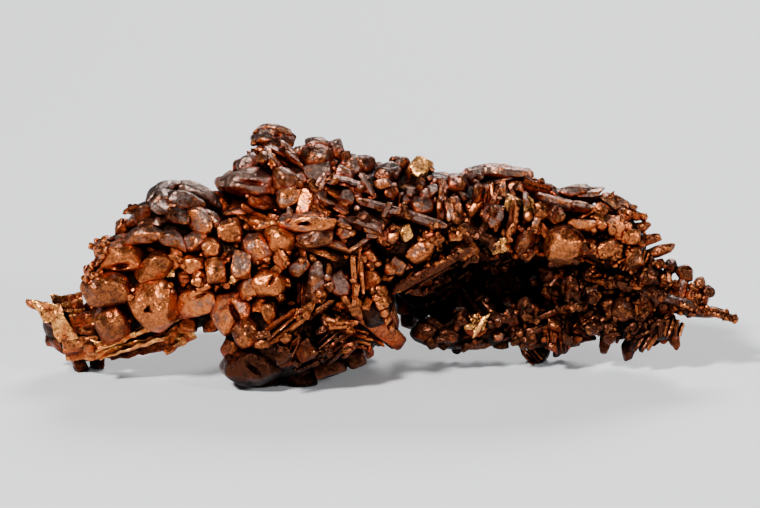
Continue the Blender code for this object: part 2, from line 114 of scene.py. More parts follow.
# %% Core masses: across, down, toward, half widths in the same order, turn in degrees
CORE = (
    (27.0, 57.5, -0.5, 8.6, 8.2, 8.0, 20),
    (35.0, 47.5, -1.0, 9.0, 9.2, 9.0, 30),
    (47.0, 53.0, 0.0, 11.5, 10.5, 11.0, 0),
    (53.0, 37.5, -6.0, 8.0, 7.0, 7.0, 10),
    (62.0, 38.0, -5.0, 9.0, 9.2, 9.0, 0),
    (72.0, 41.0, -4.0, 11.0, 8.0, 9.0, 0),
    (56.5, 67.0, 2.0, 10.0, 8.6, 10.5, 0),
    (65.0, 65.5, 1.0, 8.6, 9.2, 9.0, 0),
    (64.0, 51.0, 1.0, 13.0, 10.5, 10.5, 0),
    (79.0, 47.0, -1.0, 12.0, 9.0, 9.0, -10),
    (84.0, 38.6, -3.0, 9.0, 4.6, 6.0, 0),
    (93.0, 43.5, -2.0, 14.0, 7.4, 9.0, 0),
    (109.0, 45.0, -2.0, 14.0, 7.2, 8.0, -8),
    (121.0, 48.0, -2.5, 8.5, 6.4, 6.5, -20),
    (128.5, 56.0, -3.0, 6.5, 4.0, 4.5, -20),
    (136.0, 61.0, -3.0, 8.0, 1.9, 2.2, -14),
    (94.0, 66.0, -11.0, 12.0, 4.0, 6.5, 4),
    (109.0, 65.0, -11.0, 11.0, 4.8, 6.5, 0),
    (124.0, 62.5, -8.0, 10.0, 5.2, 6.0, 0),
    (131.0, 64.6, -6.0, 5.0, 3.4, 4.0, -20),
    (13.0, 65.0, -7.0, 5.0, 4.6, 4.0, -30),
    (17.5, 67.6, -7.0, 5.4, 4.8, 4.8, 0),
    (25.0, 52.0, -1.5, 6.0, 5.4, 6.0, 0),
    (27.0, 66.5, -4.5, 11.5, 3.4, 4.6, 6),
    (37.0, 59.5, -3.0, 9.0, 6.6, 7.0, 10),
    (73.5, 60.5, 2.0, 5.4, 5.6, 8.0, -40),
    (64.0, 54.0, -12.0, 16.0, 12.0, 9.0, 0),
    (96.0, 56.0, -14.0, 18.0, 9.5, 5.0, -4),
    (118.0, 55.5, -6.5, 9.5, 6.4, 6.0, 0),
    (68.0, 66.0, -14.0, 8.0, 7.2, 7.2, 0),
)


def mass_square(row, across, down):
    """How far a place is from the middle of a core mass, squared, with 1 on its outline."""
    middle_across, middle_down, _, half_across, half_down, _, turn = row
    angle = math.radians(turn)
    right = across - middle_across
    below = down - middle_down
    along = (right * math.cos(angle) - below * math.sin(angle)) / half_across
    beside = (below * math.cos(angle) + right * math.sin(angle)) / half_down
    return along * along + beside * beside


def core_depth(across, down):
    """How far toward the viewer the core reaches at this place, or at the nearest place that it covers."""
    fronts = []
    nearest = (math.inf, 0.0)
    for row in CORE:
        toward, half_toward = row[2], row[5]
        square = mass_square(row, across, down)
        nearest = min(nearest, (square, toward))
        if square < 1:
            fronts.append(toward + half_toward * math.sqrt(1 - square))
    return max(fronts) if fronts else nearest[1]


print(len(CORE), "core masses")

# %% [markdown]
# ## One crystal
# A bevelled cube would look machined, and a sculpted one would look the same each time. So each large
# crystal starts as points spread evenly over a ball. A point moves out until it meets the crystal's flat
# faces, and a high sharpness keeps the edges between them crisp. Dents, creases and fine wrinkles are then
# pressed into the surface, because worn copper is never quite flat.

# %% Balls to start from, and the faces that bound each kind of crystal
# How many chips a crystal has, and how deep they cut, with 1.0 at the surface.
CHIPS = 16
CHIP_DEPTH = (0.93, 1.03)
CHIP_SHARPNESS = 20


def ball(subdivisions):
    """Points on a ball of radius 1, and the triangles between them."""
    mesh = bmesh.new()
    bmesh.ops.create_icosphere(mesh, subdivisions=subdivisions, radius=1.0)
    points = np.array([vertex.co[:] for vertex in mesh.verts])
    faces = np.array([[vertex.index for vertex in face.verts] for face in mesh.faces])
    mesh.free()
    return points / np.linalg.norm(points, axis=1, keepdims=True), faces


BALLS = {detail: ball(detail) for detail in (2, 3, 4, 5)}
# A crystal up to this size, in millimetres, takes this detail.
DETAIL = ((7.4, 4), (99.0, 5))


def unit(vectors):
    """The same directions, each of length 1."""
    return vectors / np.linalg.norm(vectors, axis=-1, keepdims=True)


def evenly_spread(rng, count):
    """Directions spread evenly over a ball, with a little disorder."""
    steps = np.arange(count) + 0.5
    height = 1 - 2 * steps / count
    angle = steps * math.pi * (3 - math.sqrt(5)) + rng.uniform(0, math.tau)
    ring = np.sqrt(1 - height * height)
    spread = np.column_stack((ring * np.cos(angle), ring * np.sin(angle), height))
    return unit(spread + rng.uniform(-0.2, 0.2, spread.shape))


def block_faces(rng):
    """A worn cube: six sides, and most corners cut away."""
    sides = np.vstack((np.eye(3), -np.eye(3)))
    corners = np.array([(x, y, z) for x in (-1, 1) for y in (-1, 1) for z in (-1, 1)], float)
    corners = corners[rng.permutation(8)[:5]]
    normals = unit(np.vstack((sides, unit(corners))) + rng.uniform(-0.15, 0.15, (11, 3)))
    distances = np.concatenate((rng.uniform(0.84, 0.98, 6), rng.uniform(1.0, 1.2, 5)))
    return normals, distances, 30.0


def boulder_faces(rng):
    """A worn crystal with many facets."""
    normals = evenly_spread(rng, 15)
    return normals, rng.uniform(0.88, 1.02, 15), 26.0


def knob_faces(rng):
    """A small crystal that is nearly a ball."""
    normals = evenly_spread(rng, 10)
    return normals, rng.uniform(0.88, 1.02, 10), 12.0


def chipped(rng, normals, distances):
    """The same faces, with many small chips knocked off the edges between them."""
    chips = unit(rng.normal(size=(CHIPS, 3)))
    support = (np.clip(chips @ normals.T, 0, None) / distances) ** CHIP_SHARPNESS
    edge = support.sum(axis=1) ** (-1 / CHIP_SHARPNESS)
    depth = edge * rng.uniform(*CHIP_DEPTH, CHIPS)
    return np.vstack((normals, chips)), np.concatenate((distances, depth))


FACES = {"block": block_faces, "boulder": boulder_faces, "knob": knob_faces}
print("balls of", [len(faces) for _, faces in BALLS.values()], "triangles")

# %% [markdown]
# ## Small crystals
# Under about 3 mm a crystal is too small to show dents, so plain flat faces are enough. Each shape is a
# cube that planes cut down, and it is made once and used many times, which keeps the triangles few.

# %% Small crystals with flat faces, made once and used many times
BLANK_CUBE = 2.3
SHAPES_OF_A_KIND = 16
# How far each face shrinks toward its middle, so that worn edges lie between the faces.
EDGE_WEAR = 0.16
SAME_CORNER = 0.04


def closed(points, faces):
    """The same surface, with its triangles facing outward."""
    first, second, third = points[faces[:, 0]], points[faces[:, 1]], points[faces[:, 2]]
    volume = (np.cross(first, second) * third).sum()
    return points, faces if volume > 0 else faces[:, ::-1]


def flat_faced(normals, distances):
    """The solid that flat faces bound, with its edges worn: points and triangles."""
    mesh = bmesh.new()
    bmesh.ops.create_cube(mesh, size=BLANK_CUBE)
    for normal, distance in zip(normals, distances):
        everything = mesh.verts[:] + mesh.edges[:] + mesh.faces[:]
        point, direction = Vector(normal) * distance, Vector(normal)
        cut = bmesh.ops.bisect_plane(
            mesh, geom=everything, plane_co=point, plane_no=direction, clear_outer=True
        )
        rim = [edge for edge in cut["geom_cut"] if isinstance(edge, bmesh.types.BMEdge)]
        if rim:
            bmesh.ops.contextual_create(mesh, geom=rim)
    bmesh.ops.remove_doubles(mesh, verts=mesh.verts[:], dist=SAME_CORNER)
    corners = []
    for face in mesh.faces:
        middle = face.calc_center_median()
        corners += [vertex.co.lerp(middle, EDGE_WEAR) for vertex in face.verts]
    mesh.clear()
    for corner in corners:
        mesh.verts.new(corner)
    hull = bmesh.ops.convex_hull(mesh, input=mesh.verts[:])
    spare = set(hull["geom_interior"] + hull["geom_unused"])
    spare_points = [item for item in spare if isinstance(item, bmesh.types.BMVert)]
    bmesh.ops.delete(mesh, geom=spare_points, context="VERTS")
    bmesh.ops.triangulate(mesh, faces=mesh.faces[:])
    mesh.verts.index_update()
    points = np.array([vertex.co[:] for vertex in mesh.verts])
    faces = np.array([[vertex.index for vertex in face.verts] for face in mesh.faces])
    mesh.free()
    return closed(points, faces)


def shapes_of(kind, seed):
    """Several small crystals of one kind."""
    rng = np.random.default_rng(seed)
    return [flat_faced(*FACES[kind](rng)[:2]) for _ in range(SHAPES_OF_A_KIND)]


SMALL_SHAPES = {kind: shapes_of(kind, seed) for seed, kind in enumerate(("block", "boulder", "knob"))}
print("small crystals of", [len(shapes[0][1]) for shapes in SMALL_SHAPES.values()], "triangles")

# %% [markdown]
# ## Wear
# A displacement texture could dent a crystal, but it would dent all of them alike. A few sine waves in
# random directions give each one dents of its own, at a length that suits its size.

# %% Waves that dent and wrinkle a surface
def waves(points, rng, length, count=5):
    """A smooth random pattern between -1 and 1, whose bumps are about one length apart."""
    total = np.zeros(len(points))
    for _ in range(count):
        direction = unit(rng.normal(size=3)) * math.tau / (length * rng.uniform(0.7, 1.4))
        total += np.sin(points @ direction + rng.uniform(0, math.tau))
    return total / count


def creases(points, rng, length):
    """Sharp valleys, 0 on the flats and -1 at the bottom."""
    return -np.clip(1 - 5 * np.abs(waves(points, rng, length)), 0, 1)


# How deep the wear is, as a share of the crystal's size, and how far apart it is, in crystal sizes.
DENT = (0.04, 0.9)
CREASE = (0.025, 1.1)
WRINKLE = (0.010, 0.28)
# Crystals smaller than this, in millimetres, have flat faces and no dents.
FLAT_BELOW = 2.6


def marks_of(rng, tint, placed, centre, size, outward):
    """The marks of one crystal: its tint, a number of its own, and how far each point stands out."""
    tip = (placed - centre) @ outward / max(size / 2, 0.1)
    return {"tone": tint[0], "grey": tint[1], "gold": tint[2], "seed": rng.random(), "tip": tip}


def dented(rng, kind, halves, size):
    """A large crystal, worn and dented: points in millimetres and triangles."""
    detail = next(level for limit, level in DETAIL if size <= limit)
    directions, faces = BALLS[detail]
    normals, distances, sharpness = FACES[kind](rng)
    normals, distances = chipped(rng, normals, distances)
    reach = np.clip(directions @ normals.T, 0, None) / distances
    radius = (reach**sharpness).sum(axis=1) ** (-1 / sharpness)
    points = directions * radius[:, None] * halves
    wear = DENT[0] * waves(points, rng, DENT[1] * size)
    wear += CREASE[0] * creases(points, rng, CREASE[1] * size)
    wear += WRINKLE[0] * waves(points, rng, WRINKLE[1] * size)
    return points + directions * (wear * size)[:, None], faces


def crystal(rng, kind, centre, axes, halves, tint, outward=OUTWARD):
    """One crystal, as points in millimetres, triangles, and the marks that its finish reads."""
    size = 2 * (halves[0] * halves[1] * halves[2]) ** (1 / 3)
    if kind == "rod":
        points, faces = ridged(rng, np.array(halves))
    elif size < FLAT_BELOW:
        points, faces = SMALL_SHAPES[kind][rng.integers(SHAPES_OF_A_KIND)]
        points = points * halves
    else:
        points, faces = dented(rng, kind, halves, size)
    placed = points @ axes + centre
    return placed, faces, marks_of(rng, tint, placed, centre, size, outward)


print("crystals under", FLAT_BELOW, "mm have flat faces")

# %% [markdown]
# ## Rods and plates
# Where copper grew fastest it made long ridged crystals, like bundles of fine blades. A stretched boulder
# would be smooth, so a rod is built ring by ring, and each of its sides has a radius of its own.

# %% Ridged rods and blades
# How deep the ridges are and how crooked a rod is, as shares of its thickness.
RIDGE = 0.30
CROOKED = 0.05
TAPER = 0.42
# How blunt a rod's ends are, and how far they slant.
BLUNT = 12
SLANT = 0.4
# Sides and rings of a rod up to this thick, in millimetres.
ROD_DETAIL = ((1.3, 8, 7), (2.4, 12, 12), (99.0, 18, 20))


def ridged(rng, halves):
    """A rod with ridges along it: points in millimetres and triangles."""
    sides, rings = next((sides, rings) for limit, sides, rings in ROD_DETAIL if 2 * halves[2] <= limit)
    angle = math.tau * (np.arange(sides) + rng.uniform(-0.25, 0.25, sides)) / sides
    around = 1 - RIDGE * rng.random(sides)
    along = np.sin(np.linspace(-1, 1, rings) * math.pi / 2)
    full = (1 - TAPER * np.abs(along) ** BLUNT) * rng.uniform(0.94, 1.06, rings)
    crooked = np.cumsum(rng.normal(size=(rings, 2)), axis=0) * CROOKED
    crooked -= crooked.mean(axis=0)
    slant = rng.normal(size=2) * SLANT
    radius = full[:, None] * around
    lean = (np.cos(angle) * slant[0] + np.sin(angle) * slant[1]) * halves[1] * (along**3)[:, None]
    x = along[:, None] * halves[0] + lean
    y = (radius * np.cos(angle) + crooked[:, :1]) * halves[1]
    z = (radius * np.sin(angle) + crooked[:, 1:]) * halves[2]
    points = np.stack((x, y, z), axis=-1).reshape(-1, 3)
    ends = np.array((points[:sides].mean(axis=0), points[-sides:].mean(axis=0)))
    return closed(np.vstack((points, ends)), rod_triangles(sides, rings))


def rod_triangles(sides, rings):
    """The triangles of a rod: its sides, then its two ends."""
    ring, side = np.meshgrid(np.arange(rings - 1), np.arange(sides), indexing="ij")
    a = (ring * sides + side).ravel()
    b = (ring * sides + (side + 1) % sides).ravel()
    round_it = np.vstack((np.column_stack((a, b, b + sides)), np.column_stack((a, b + sides, a + sides))))
    edge = np.arange(sides)
    following = (edge + 1) % sides
    last = (rings - 1) * sides
    first_end = np.column_stack((following, edge, np.full(sides, rings * sides)))
    last_end = np.column_stack((edge + last, following + last, np.full(sides, rings * sides + 1)))
    return np.vstack((round_it, first_end, last_end))


def plate_axes(turn, pitch=0.0, yaw=0.0):
    """The directions of a crystal's width, height and depth, as rows."""
    spin = Matrix.Rotation(math.radians(turn), 3, "Z")
    tumble = Matrix.Rotation(math.radians(pitch), 3, "X") @ Matrix.Rotation(math.radians(yaw), 3, "Y")
    return np.array((spin @ tumble).transposed()) @ PLATE


def axes_along(direction):
    """Axes whose first row is the direction."""
    first = unit(np.array(direction, float))
    second = unit(np.cross(OUTWARD + 0.01 * UPWARD, first))
    return np.array((first, second, np.cross(first, second)))


print("rods of", [len(rod_triangles(sides, rings)) for _, sides, rings in ROD_DETAIL], "triangles")


# %% [markdown]
# ## The crystals that can be told apart
# Scattering every crystal at random would be quicker, but the eye looks for the large ones first. So these
# are drawn one by one, as the solid's are, with the smaller ones that the solid leaves out. A crystal rests
# where the core reaches, and its lift brings it forward of its neighbours.

# %% Boulders: across, down, wide, tall, turn in degrees, lift toward the viewer
BOULDERS = (
    (31.4, 60.8, 9.4, 9.8, 10, 2.0),
    (23.0, 64.2, 6.8, 7.6, 0, 1.6),
    (21.8, 57.8, 9.8, 6.6, -6, 1.0),
    (25.0, 51.8, 8.6, 6.8, 4, 0.8),
    (20.8, 50.2, 4.0, 4.2, 30, -1.0),
    (19.0, 54.4, 3.8, 3.8, 10, -0.6),
    (47.2, 62.3, 9.0, 8.8, 8, 2.2),
    (49.8, 66.4, 5.8, 5.8, 0, 1.4),
    (53.4, 56.6, 8.6, 6.2, 6, 1.9),
    (56.2, 47.8, 7.0, 6.4, -40, 1.6),
    (51.6, 49.8, 6.2, 5.8, 0, 1.2),
    (18.2, 62.2, 4.0, 4.2, 10, -1.0),
    (47.4, 69.6, 5.2, 5.0, 0, 0.6),
    (39.4, 48.6, 6.0, 4.2, 20, 1.0),
    (42.6, 49.8, 3.8, 4.0, 0, 0.9),
    (50.4, 73.0, 11.6, 7.2, 0, 0.6),
    (50.2, 36.6, 11.4, 5.4, -3, 1.0),
    (54.4, 27.8, 8.2, 5.0, -4, 0.0),
    (45.8, 36.8, 4.6, 4.6, 0, 1.2),
    (43.8, 40.8, 5.4, 4.6, -30, -1.6),
    (72.4, 33.4, 5.6, 4.4, 0, 0.0),
    (80.0, 33.8, 4.6, 4.8, 10, 0.0),
    (108.2, 42.4, 3.8, 3.6, 0, 1.6),
    (112.6, 48.9, 7.0, 6.8, -10, 2.4),
    (77.6, 34.9, 5.2, 4.4, 10, 0.2),
    (84.2, 41.6, 5.2, 4.6, 0, 1.4),
    (63.6, 31.8, 6.2, 5.4, 10, 0.6),
    (70.2, 33.6, 5.6, 5.0, 0, 0.4),
    (57.6, 36.2, 6.0, 5.0, -20, 1.0),
    (120.0, 45.0, 4.2, 3.4, 0, 0.6),
    (109.6, 54.4, 3.0, 4.4, 10, 1.6),
    (107.4, 56.8, 3.2, 3.0, 0, 1.2),
    (124.6, 61.8, 4.8, 4.6, 20, 0.8),
    (109.8, 60.2, 3.2, 3.0, 0, 0.6),
    (84.2, 62.6, 3.2, 3.2, 0, -0.4),
    (85.4, 66.2, 5.2, 4.2, 0, 0.6),
    (119.2, 65.4, 3.0, 2.8, 0, 0.8),
)
BLOCKS = (
    (91.4, 37.2, 4.4, 4.6, 10, 0.6),
    (81.0, 60.6, 4.2, 5.4, 10, -3.0),
    (81.8, 64.0, 3.4, 3.8, 0, -4.0),
    (39.8, 59.9, 9.6, 5.6, 13, 1.9),
    (48.4, 53.4, 4.2, 5.2, -4, 1.4),
    (43.6, 54.2, 4.2, 5.0, 4, 1.4),
    (39.4, 52.8, 4.8, 3.4, -8, 1.1),
    (37.4, 55.4, 3.4, 3.6, 5, 1.3),
    (40.4, 55.6, 3.4, 3.4, 0, 1.3),
    (31.4, 53.6, 9.4, 5.4, 40, 1.4),
    (34.0, 54.2, 3.0, 3.2, 10, 2.4),
    (35.6, 51.6, 2.8, 5.0, 5, 0.8),
    (50.2, 57.6, 4.4, 4.2, 25, 1.6),
    (52.6, 61.0, 3.8, 3.6, 0, 0.8),
    (56.6, 51.8, 2.8, 4.4, 25, 1.2),
    (54.4, 62.6, 2.8, 5.0, 12, 0.6),
    (60.0, 53.4, 4.2, 2.6, 38, 1.8),
    (40.8, 44.4, 8.0, 4.8, -38, 1.5),
    (34.2, 41.0, 7.4, 5.0, -20, -0.4),
    (37.0, 40.8, 7.8, 3.6, -8, 1.0),
    (36.2, 43.4, 5.2, 3.2, -12, 0.6),
    (28.8, 42.6, 4.6, 3.8, 25, 0.4),
    (24.8, 45.8, 3.8, 3.8, 10, 0.0),
    (25.6, 48.4, 4.6, 3.2, 10, 0.2),
    (29.8, 45.4, 3.8, 3.0, 0, 0.6),
    (46.4, 46.4, 4.6, 4.4, 20, 0.8),
    (51.8, 45.2, 4.2, 3.0, -30, 1.0),
    (44.6, 36.8, 3.4, 3.8, 20, 0.4),
    (49.6, 33.0, 4.6, 3.6, 35, 0.2),
    (54.4, 33.0, 4.2, 3.4, -20, 0.4),
    (51.8, 31.0, 3.6, 3.0, 30, 0.2),
    (63.4, 29.4, 4.6, 4.2, 0, 0.2),
    (67.2, 30.4, 3.8, 5.4, 15, 0.2),
    (60.2, 30.6, 3.0, 2.8, 0, 0.0),
    (64.0, 34.6, 4.8, 4.2, 20, 0.6),
    (68.6, 35.4, 4.2, 4.4, -20, 0.6),
    (59.6, 36.6, 4.0, 4.2, 10, 0.6),
    (52.6, 40.4, 6.0, 3.2, -12, 1.0),
    (58.0, 40.0, 5.4, 4.6, 15, 1.2),
    (61.8, 41.0, 4.4, 5.6, -15, 1.4),
    (64.6, 41.2, 2.8, 6.0, 5, 1.4),
    (61.6, 45.0, 10.8, 3.9, -4, 1.8),
    (63.2, 48.0, 7.0, 3.2, 5, 1.4),
    (68.6, 46.0, 3.0, 4.4, 20, 1.2),
    (69.2, 41.0, 3.6, 3.4, 0, 1.2),
    (74.4, 44.8, 6.0, 3.6, -25, 1.6),
    (72.4, 42.0, 3.2, 2.4, 10, 1.4),
    (76.6, 47.4, 2.4, 3.2, -20, 1.2),
    (78.8, 46.6, 2.2, 3.4, -20, 1.4),
    (81.0, 46.6, 2.8, 3.0, 20, 1.8),
    (76.8, 35.4, 4.0, 3.2, 0, 0.2),
    (84.0, 34.2, 4.4, 5.6, -25, 0.4),
    (78.0, 38.6, 3.2, 3.8, 10, 0.8),
    (82.4, 39.4, 2.6, 4.6, 5, 0.8),
    (85.2, 40.0, 2.8, 5.0, 0, 1.0),
    (87.4, 37.0, 4.2, 3.0, 0, 0.2),
    (90.6, 42.0, 3.8, 4.6, 10, 1.0),
    (88.2, 42.4, 2.0, 3.0, 0, 1.0),
    (93.2, 44.6, 2.6, 2.6, 20, 1.0),
    (98.4, 43.4, 3.8, 4.6, -10, 1.2),
    (102.2, 41.0, 4.0, 3.4, -20, 1.4),
    (105.6, 42.0, 2.4, 3.6, 0, 1.4),
    (103.0, 38.2, 3.4, 3.4, 10, 0.8),
    (110.6, 42.8, 3.2, 3.6, -40, 1.4),
    (117.8, 42.2, 3.6, 2.4, -10, 1.0),
    (124.8, 43.2, 3.2, 2.8, -30, 0.4),
    (122.8, 45.6, 3.6, 4.6, 20, 0.8),
    (115.8, 45.2, 6.2, 2.8, 0, 1.6),
    (111.8, 52.2, 4.6, 2.4, 10, 1.6),
    (117.6, 49.6, 4.0, 3.6, 0, 1.4),
    (121.6, 49.6, 4.2, 4.0, 20, 1.4),
    (126.6, 51.8, 4.0, 4.6, 10, 1.2),
    (126.0, 47.4, 3.6, 3.2, 0, 0.6),
    (86.4, 47.2, 3.6, 3.4, 0, 1.4),
    (91.0, 46.6, 3.0, 3.0, 0, 1.4),
    (84.0, 50.4, 5.4, 3.4, 30, 0.6),
    (93.4, 50.0, 5.0, 4.4, -10, 1.4),
    (100.6, 52.8, 3.0, 3.0, 0, 1.2),
    (96.6, 51.6, 2.2, 3.4, 0, 1.0),
    (79.6, 53.2, 3.4, 3.0, -35, 1.4),
    (74.2, 51.8, 2.8, 4.4, 35, 1.4),
    (77.4, 54.8, 3.6, 3.0, -30, 1.4),
    (68.2, 56.8, 4.0, 5.2, 30, 1.4),
    (73.6, 56.2, 4.4, 4.4, -20, 1.6),
    (69.0, 61.0, 4.4, 1.8, 12, 1.8),
    (76.2, 59.6, 2.8, 4.8, 12, 1.6),
    (130.0, 55.4, 3.4, 3.2, 0, 0.8),
    (133.0, 56.2, 2.6, 2.4, 0, 0.8),
    (114.4, 57.4, 2.8, 4.6, 10, 1.2),
    (118.6, 58.6, 2.6, 2.6, 0, 1.6),
    (116.4, 60.8, 2.4, 2.2, 0, 1.6),
    (121.6, 61.0, 2.4, 2.4, 0, 1.2),
    (128.2, 63.0, 2.8, 2.8, 20, 0.8),
    (129.4, 60.6, 3.0, 2.2, -20, 0.8),
    (122.0, 65.8, 2.4, 2.4, 0, 1.0),
    (126.8, 65.6, 2.6, 3.0, -20, 0.8),
    (133.6, 62.6, 2.4, 2.6, 20, 0.6),
    (101.6, 60.6, 2.6, 2.6, 0, 1.0),
    (106.6, 62.0, 3.0, 2.4, -10, 1.0),
    (95.6, 64.4, 3.6, 2.6, -10, 1.4),
    (89.8, 67.2, 3.8, 3.0, 0, 0.8),
    (100.4, 69.0, 3.0, 2.4, 0, 0.2),
    (104.4, 67.8, 3.0, 3.0, 0, 0.4),
    (95.0, 69.2, 5.2, 1.8, 2, 0.0),
    (37.8, 64.8, 3.4, 3.4, 0, 1.0),
    (42.2, 64.8, 3.4, 3.6, 0, 0.8),
    (59.6, 75.4, 5.6, 3.6, 5, 0.0),
    (66.0, 73.4, 6.2, 3.6, 15, 0.0),
    (71.0, 71.4, 4.0, 4.4, 20, 0.0),
    (47.2, 70.4, 4.0, 5.2, -10, 0.0),
    (61.0, 69.8, 4.2, 4.6, 20, 0.4),
)
# Ridged plates: across, down, long, tall, turn in degrees, lift toward the viewer.
SLABS = (
    (101.2, 34.8, 9.2, 4.0, -4, 0.8),
    (99.6, 36.8, 7.4, 2.6, 24, 1.6),
    (94.2, 36.2, 5.4, 4.6, 62, 0.2),
    (107.4, 38.0, 7.0, 3.8, -24, 1.0),
    (111.0, 40.6, 7.0, 2.6, -16, 1.6),
    (115.6, 39.0, 8.4, 3.6, 3, 0.8),
    (114.0, 41.4, 6.4, 2.4, -6, 1.4),
    (122.4, 41.0, 5.6, 3.4, -36, 0.6),
    (120.4, 43.8, 5.2, 2.6, -20, 1.2),
    (104.8, 48.4, 5.6, 3.4, 64, 1.8),
    (102.6, 43.6, 6.0, 2.6, 74, 1.6),
    (98.6, 41.2, 6.2, 2.4, 68, 1.4),
    (95.4, 39.6, 5.4, 2.2, 82, 1.0),
    (66.4, 38.4, 7.0, 3.4, -34, 1.2),
    (69.6, 37.0, 7.4, 2.2, -18, 1.8),
    (63.6, 38.8, 6.4, 2.4, 62, 1.6),
    (56.0, 34.2, 7.0, 2.6, -48, 1.2),
    (73.6, 45.2, 7.4, 3.0, -24, 2.2),
    (54.0, 41.6, 8.4, 2.6, -26, 1.8),
    (88.4, 39.6, 5.6, 2.4, 84, 1.0),
    (84.0, 38.4, 5.0, 2.4, 76, 0.8),
)
# Rods, ribs and blades: from (across, down) to (across, down), thickness, lift toward the viewer.
RODS = (
    (69.2, 60.0, 80.4, 68.8, 4.6, 4.6),
    (46.6, 41.0, 58.2, 46.2, 1.6, 1.9),
    (46.2, 42.4, 51.8, 45.8, 1.8, 1.8),
    (45.6, 34.6, 54.6, 34.8, 1.3, 1.6),
    (64.8, 38.2, 73.0, 41.2, 1.9, 1.8),
    (67.2, 36.6, 71.0, 38.0, 1.6, 1.4),
    (72.0, 40.4, 88.6, 45.2, 2.4, 3.8),
    (92.8, 45.4, 103.0, 50.4, 2.4, 3.8),
    (78.4, 58.0, 94.2, 49.2, 2.6, 1.8),
    (70.6, 51.2, 71.2, 59.6, 1.3, 3.2),
    (72.0, 51.0, 72.6, 58.6, 1.2, 2.8),
    (69.8, 50.4, 74.6, 47.0, 1.3, 2.0),
    (57.0, 47.6, 66.8, 51.6, 1.8, 1.8),
    (52.2, 69.0, 62.6, 61.4, 3.2, 4.0),
    (55.6, 68.2, 58.2, 71.0, 1.0, 2.6),
    (60.4, 67.0, 58.2, 71.0, 1.0, 2.6),
    (63.6, 53.6, 62.8, 61.8, 4.0, 1.8),
    (66.0, 53.0, 64.4, 61.4, 1.4, 2.4),
    (62.0, 72.6, 70.2, 65.4, 2.8, 1.4),
    (64.4, 63.2, 69.4, 69.0, 2.4, 1.4),
    (69.8, 66.2, 75.8, 68.6, 2.4, 1.0),
    (66.8, 64.2, 71.8, 64.4, 1.8, 1.8),
    (75.0, 57.8, 79.0, 66.4, 2.6, 2.4),
    (99.2, 36.4, 96.8, 43.4, 2.2, 1.4),
    (97.4, 37.8, 95.8, 41.6, 1.4, 1.2),
    (101.4, 36.0, 100.8, 40.6, 1.6, 1.2),
    (106.0, 42.8, 109.8, 47.4, 2.4, 1.0),
    (123.6, 47.4, 128.4, 48.8, 2.2, 1.0),
    (128.6, 58.2, 138.8, 61.2, 2.0, 3.2),
    (137.6, 61.2, 144.8, 63.0, 2.6, 0.4),
    (143.4, 62.8, 147.4, 63.8, 1.8, 0.0),
    (115.2, 66.0, 119.4, 67.8, 1.4, 1.2),
    (111.0, 64.2, 112.4, 71.2, 3.0, 0.8),
    (131.0, 64.4, 128.4, 70.2, 1.6, 0.6),
    (129.2, 64.6, 126.6, 70.0, 1.6, 0.8),
    (134.6, 63.6, 135.4, 68.8, 2.6, 0.6),
    (132.2, 64.0, 132.6, 67.2, 1.6, 0.6),
    (92.4, 57.8, 98.4, 65.6, 1.4, 2.6),
    (94.6, 57.6, 100.4, 64.4, 1.4, 2.6),
    (91.6, 58.6, 92.6, 65.4, 1.4, 2.6),
    (88.4, 68.0, 94.8, 61.6, 2.2, 0.6),
    (99.0, 64.0, 108.6, 62.2, 1.8, 0.8),
    (106.0, 64.6, 115.6, 60.6, 1.4, 0.8),
    (113.0, 69.6, 118.0, 67.0, 2.2, 0.2),
    (83.6, 57.8, 88.4, 56.4, 1.6, 0.6),
    (118.0, 56.0, 128.4, 57.6, 1.6, 0.2),
)
# Rolled rims, which are bowed upward: from and to as above, thickness, lift, and the height of the bow.
ARCS = (
    (75.4, 58.0, 79.2, 66.4, 3.2, 3.8, 0.4),
    (29.0, 42.4, 36.4, 36.8, 4.2, 0.8, 0.9),
    (33.2, 37.4, 44.6, 42.0, 4.2, 1.0, 1.2),
    (31.0, 41.2, 42.0, 42.2, 2.6, 1.2, 1.0),
    (38.6, 42.6, 44.6, 46.0, 3.2, 1.2, 0.8),
    (23.8, 50.2, 34.0, 47.4, 3.6, 1.6, 1.8),
    (31.0, 47.4, 37.8, 49.8, 3.2, 1.6, 1.0),
    (25.6, 45.6, 30.4, 43.6, 3.2, 0.2, 0.8),
    (52.0, 28.4, 61.0, 33.8, 2.6, 1.0, 0.8),
    (50.6, 26.2, 58.4, 26.6, 2.4, 0.6, 0.8),
    (46.4, 37.4, 55.0, 36.6, 2.4, 1.8, 1.2),
    (56.8, 44.6, 67.4, 44.8, 2.2, 2.4, 1.2),
    (57.6, 46.6, 66.8, 46.4, 1.8, 2.4, -0.8),
    (44.6, 43.4, 52.2, 42.8, 2.4, 1.4, 0.6),
    (60.0, 47.6, 70.0, 50.2, 2.2, 1.8, 0.6),
    (96.6, 34.2, 105.4, 36.0, 3.0, 0.4, 0.8),
    (104.6, 36.8, 112.0, 40.0, 2.6, 0.6, 0.6),
    (111.4, 38.8, 119.8, 38.6, 2.8, 0.6, 0.4),
    (109.0, 46.6, 116.4, 47.4, 1.6, 3.0, 1.4),
    (109.4, 49.8, 115.8, 50.2, 1.4, 2.8, -1.2),
    (117.6, 43.8, 124.0, 45.4, 1.8, 1.0, 0.6),
)
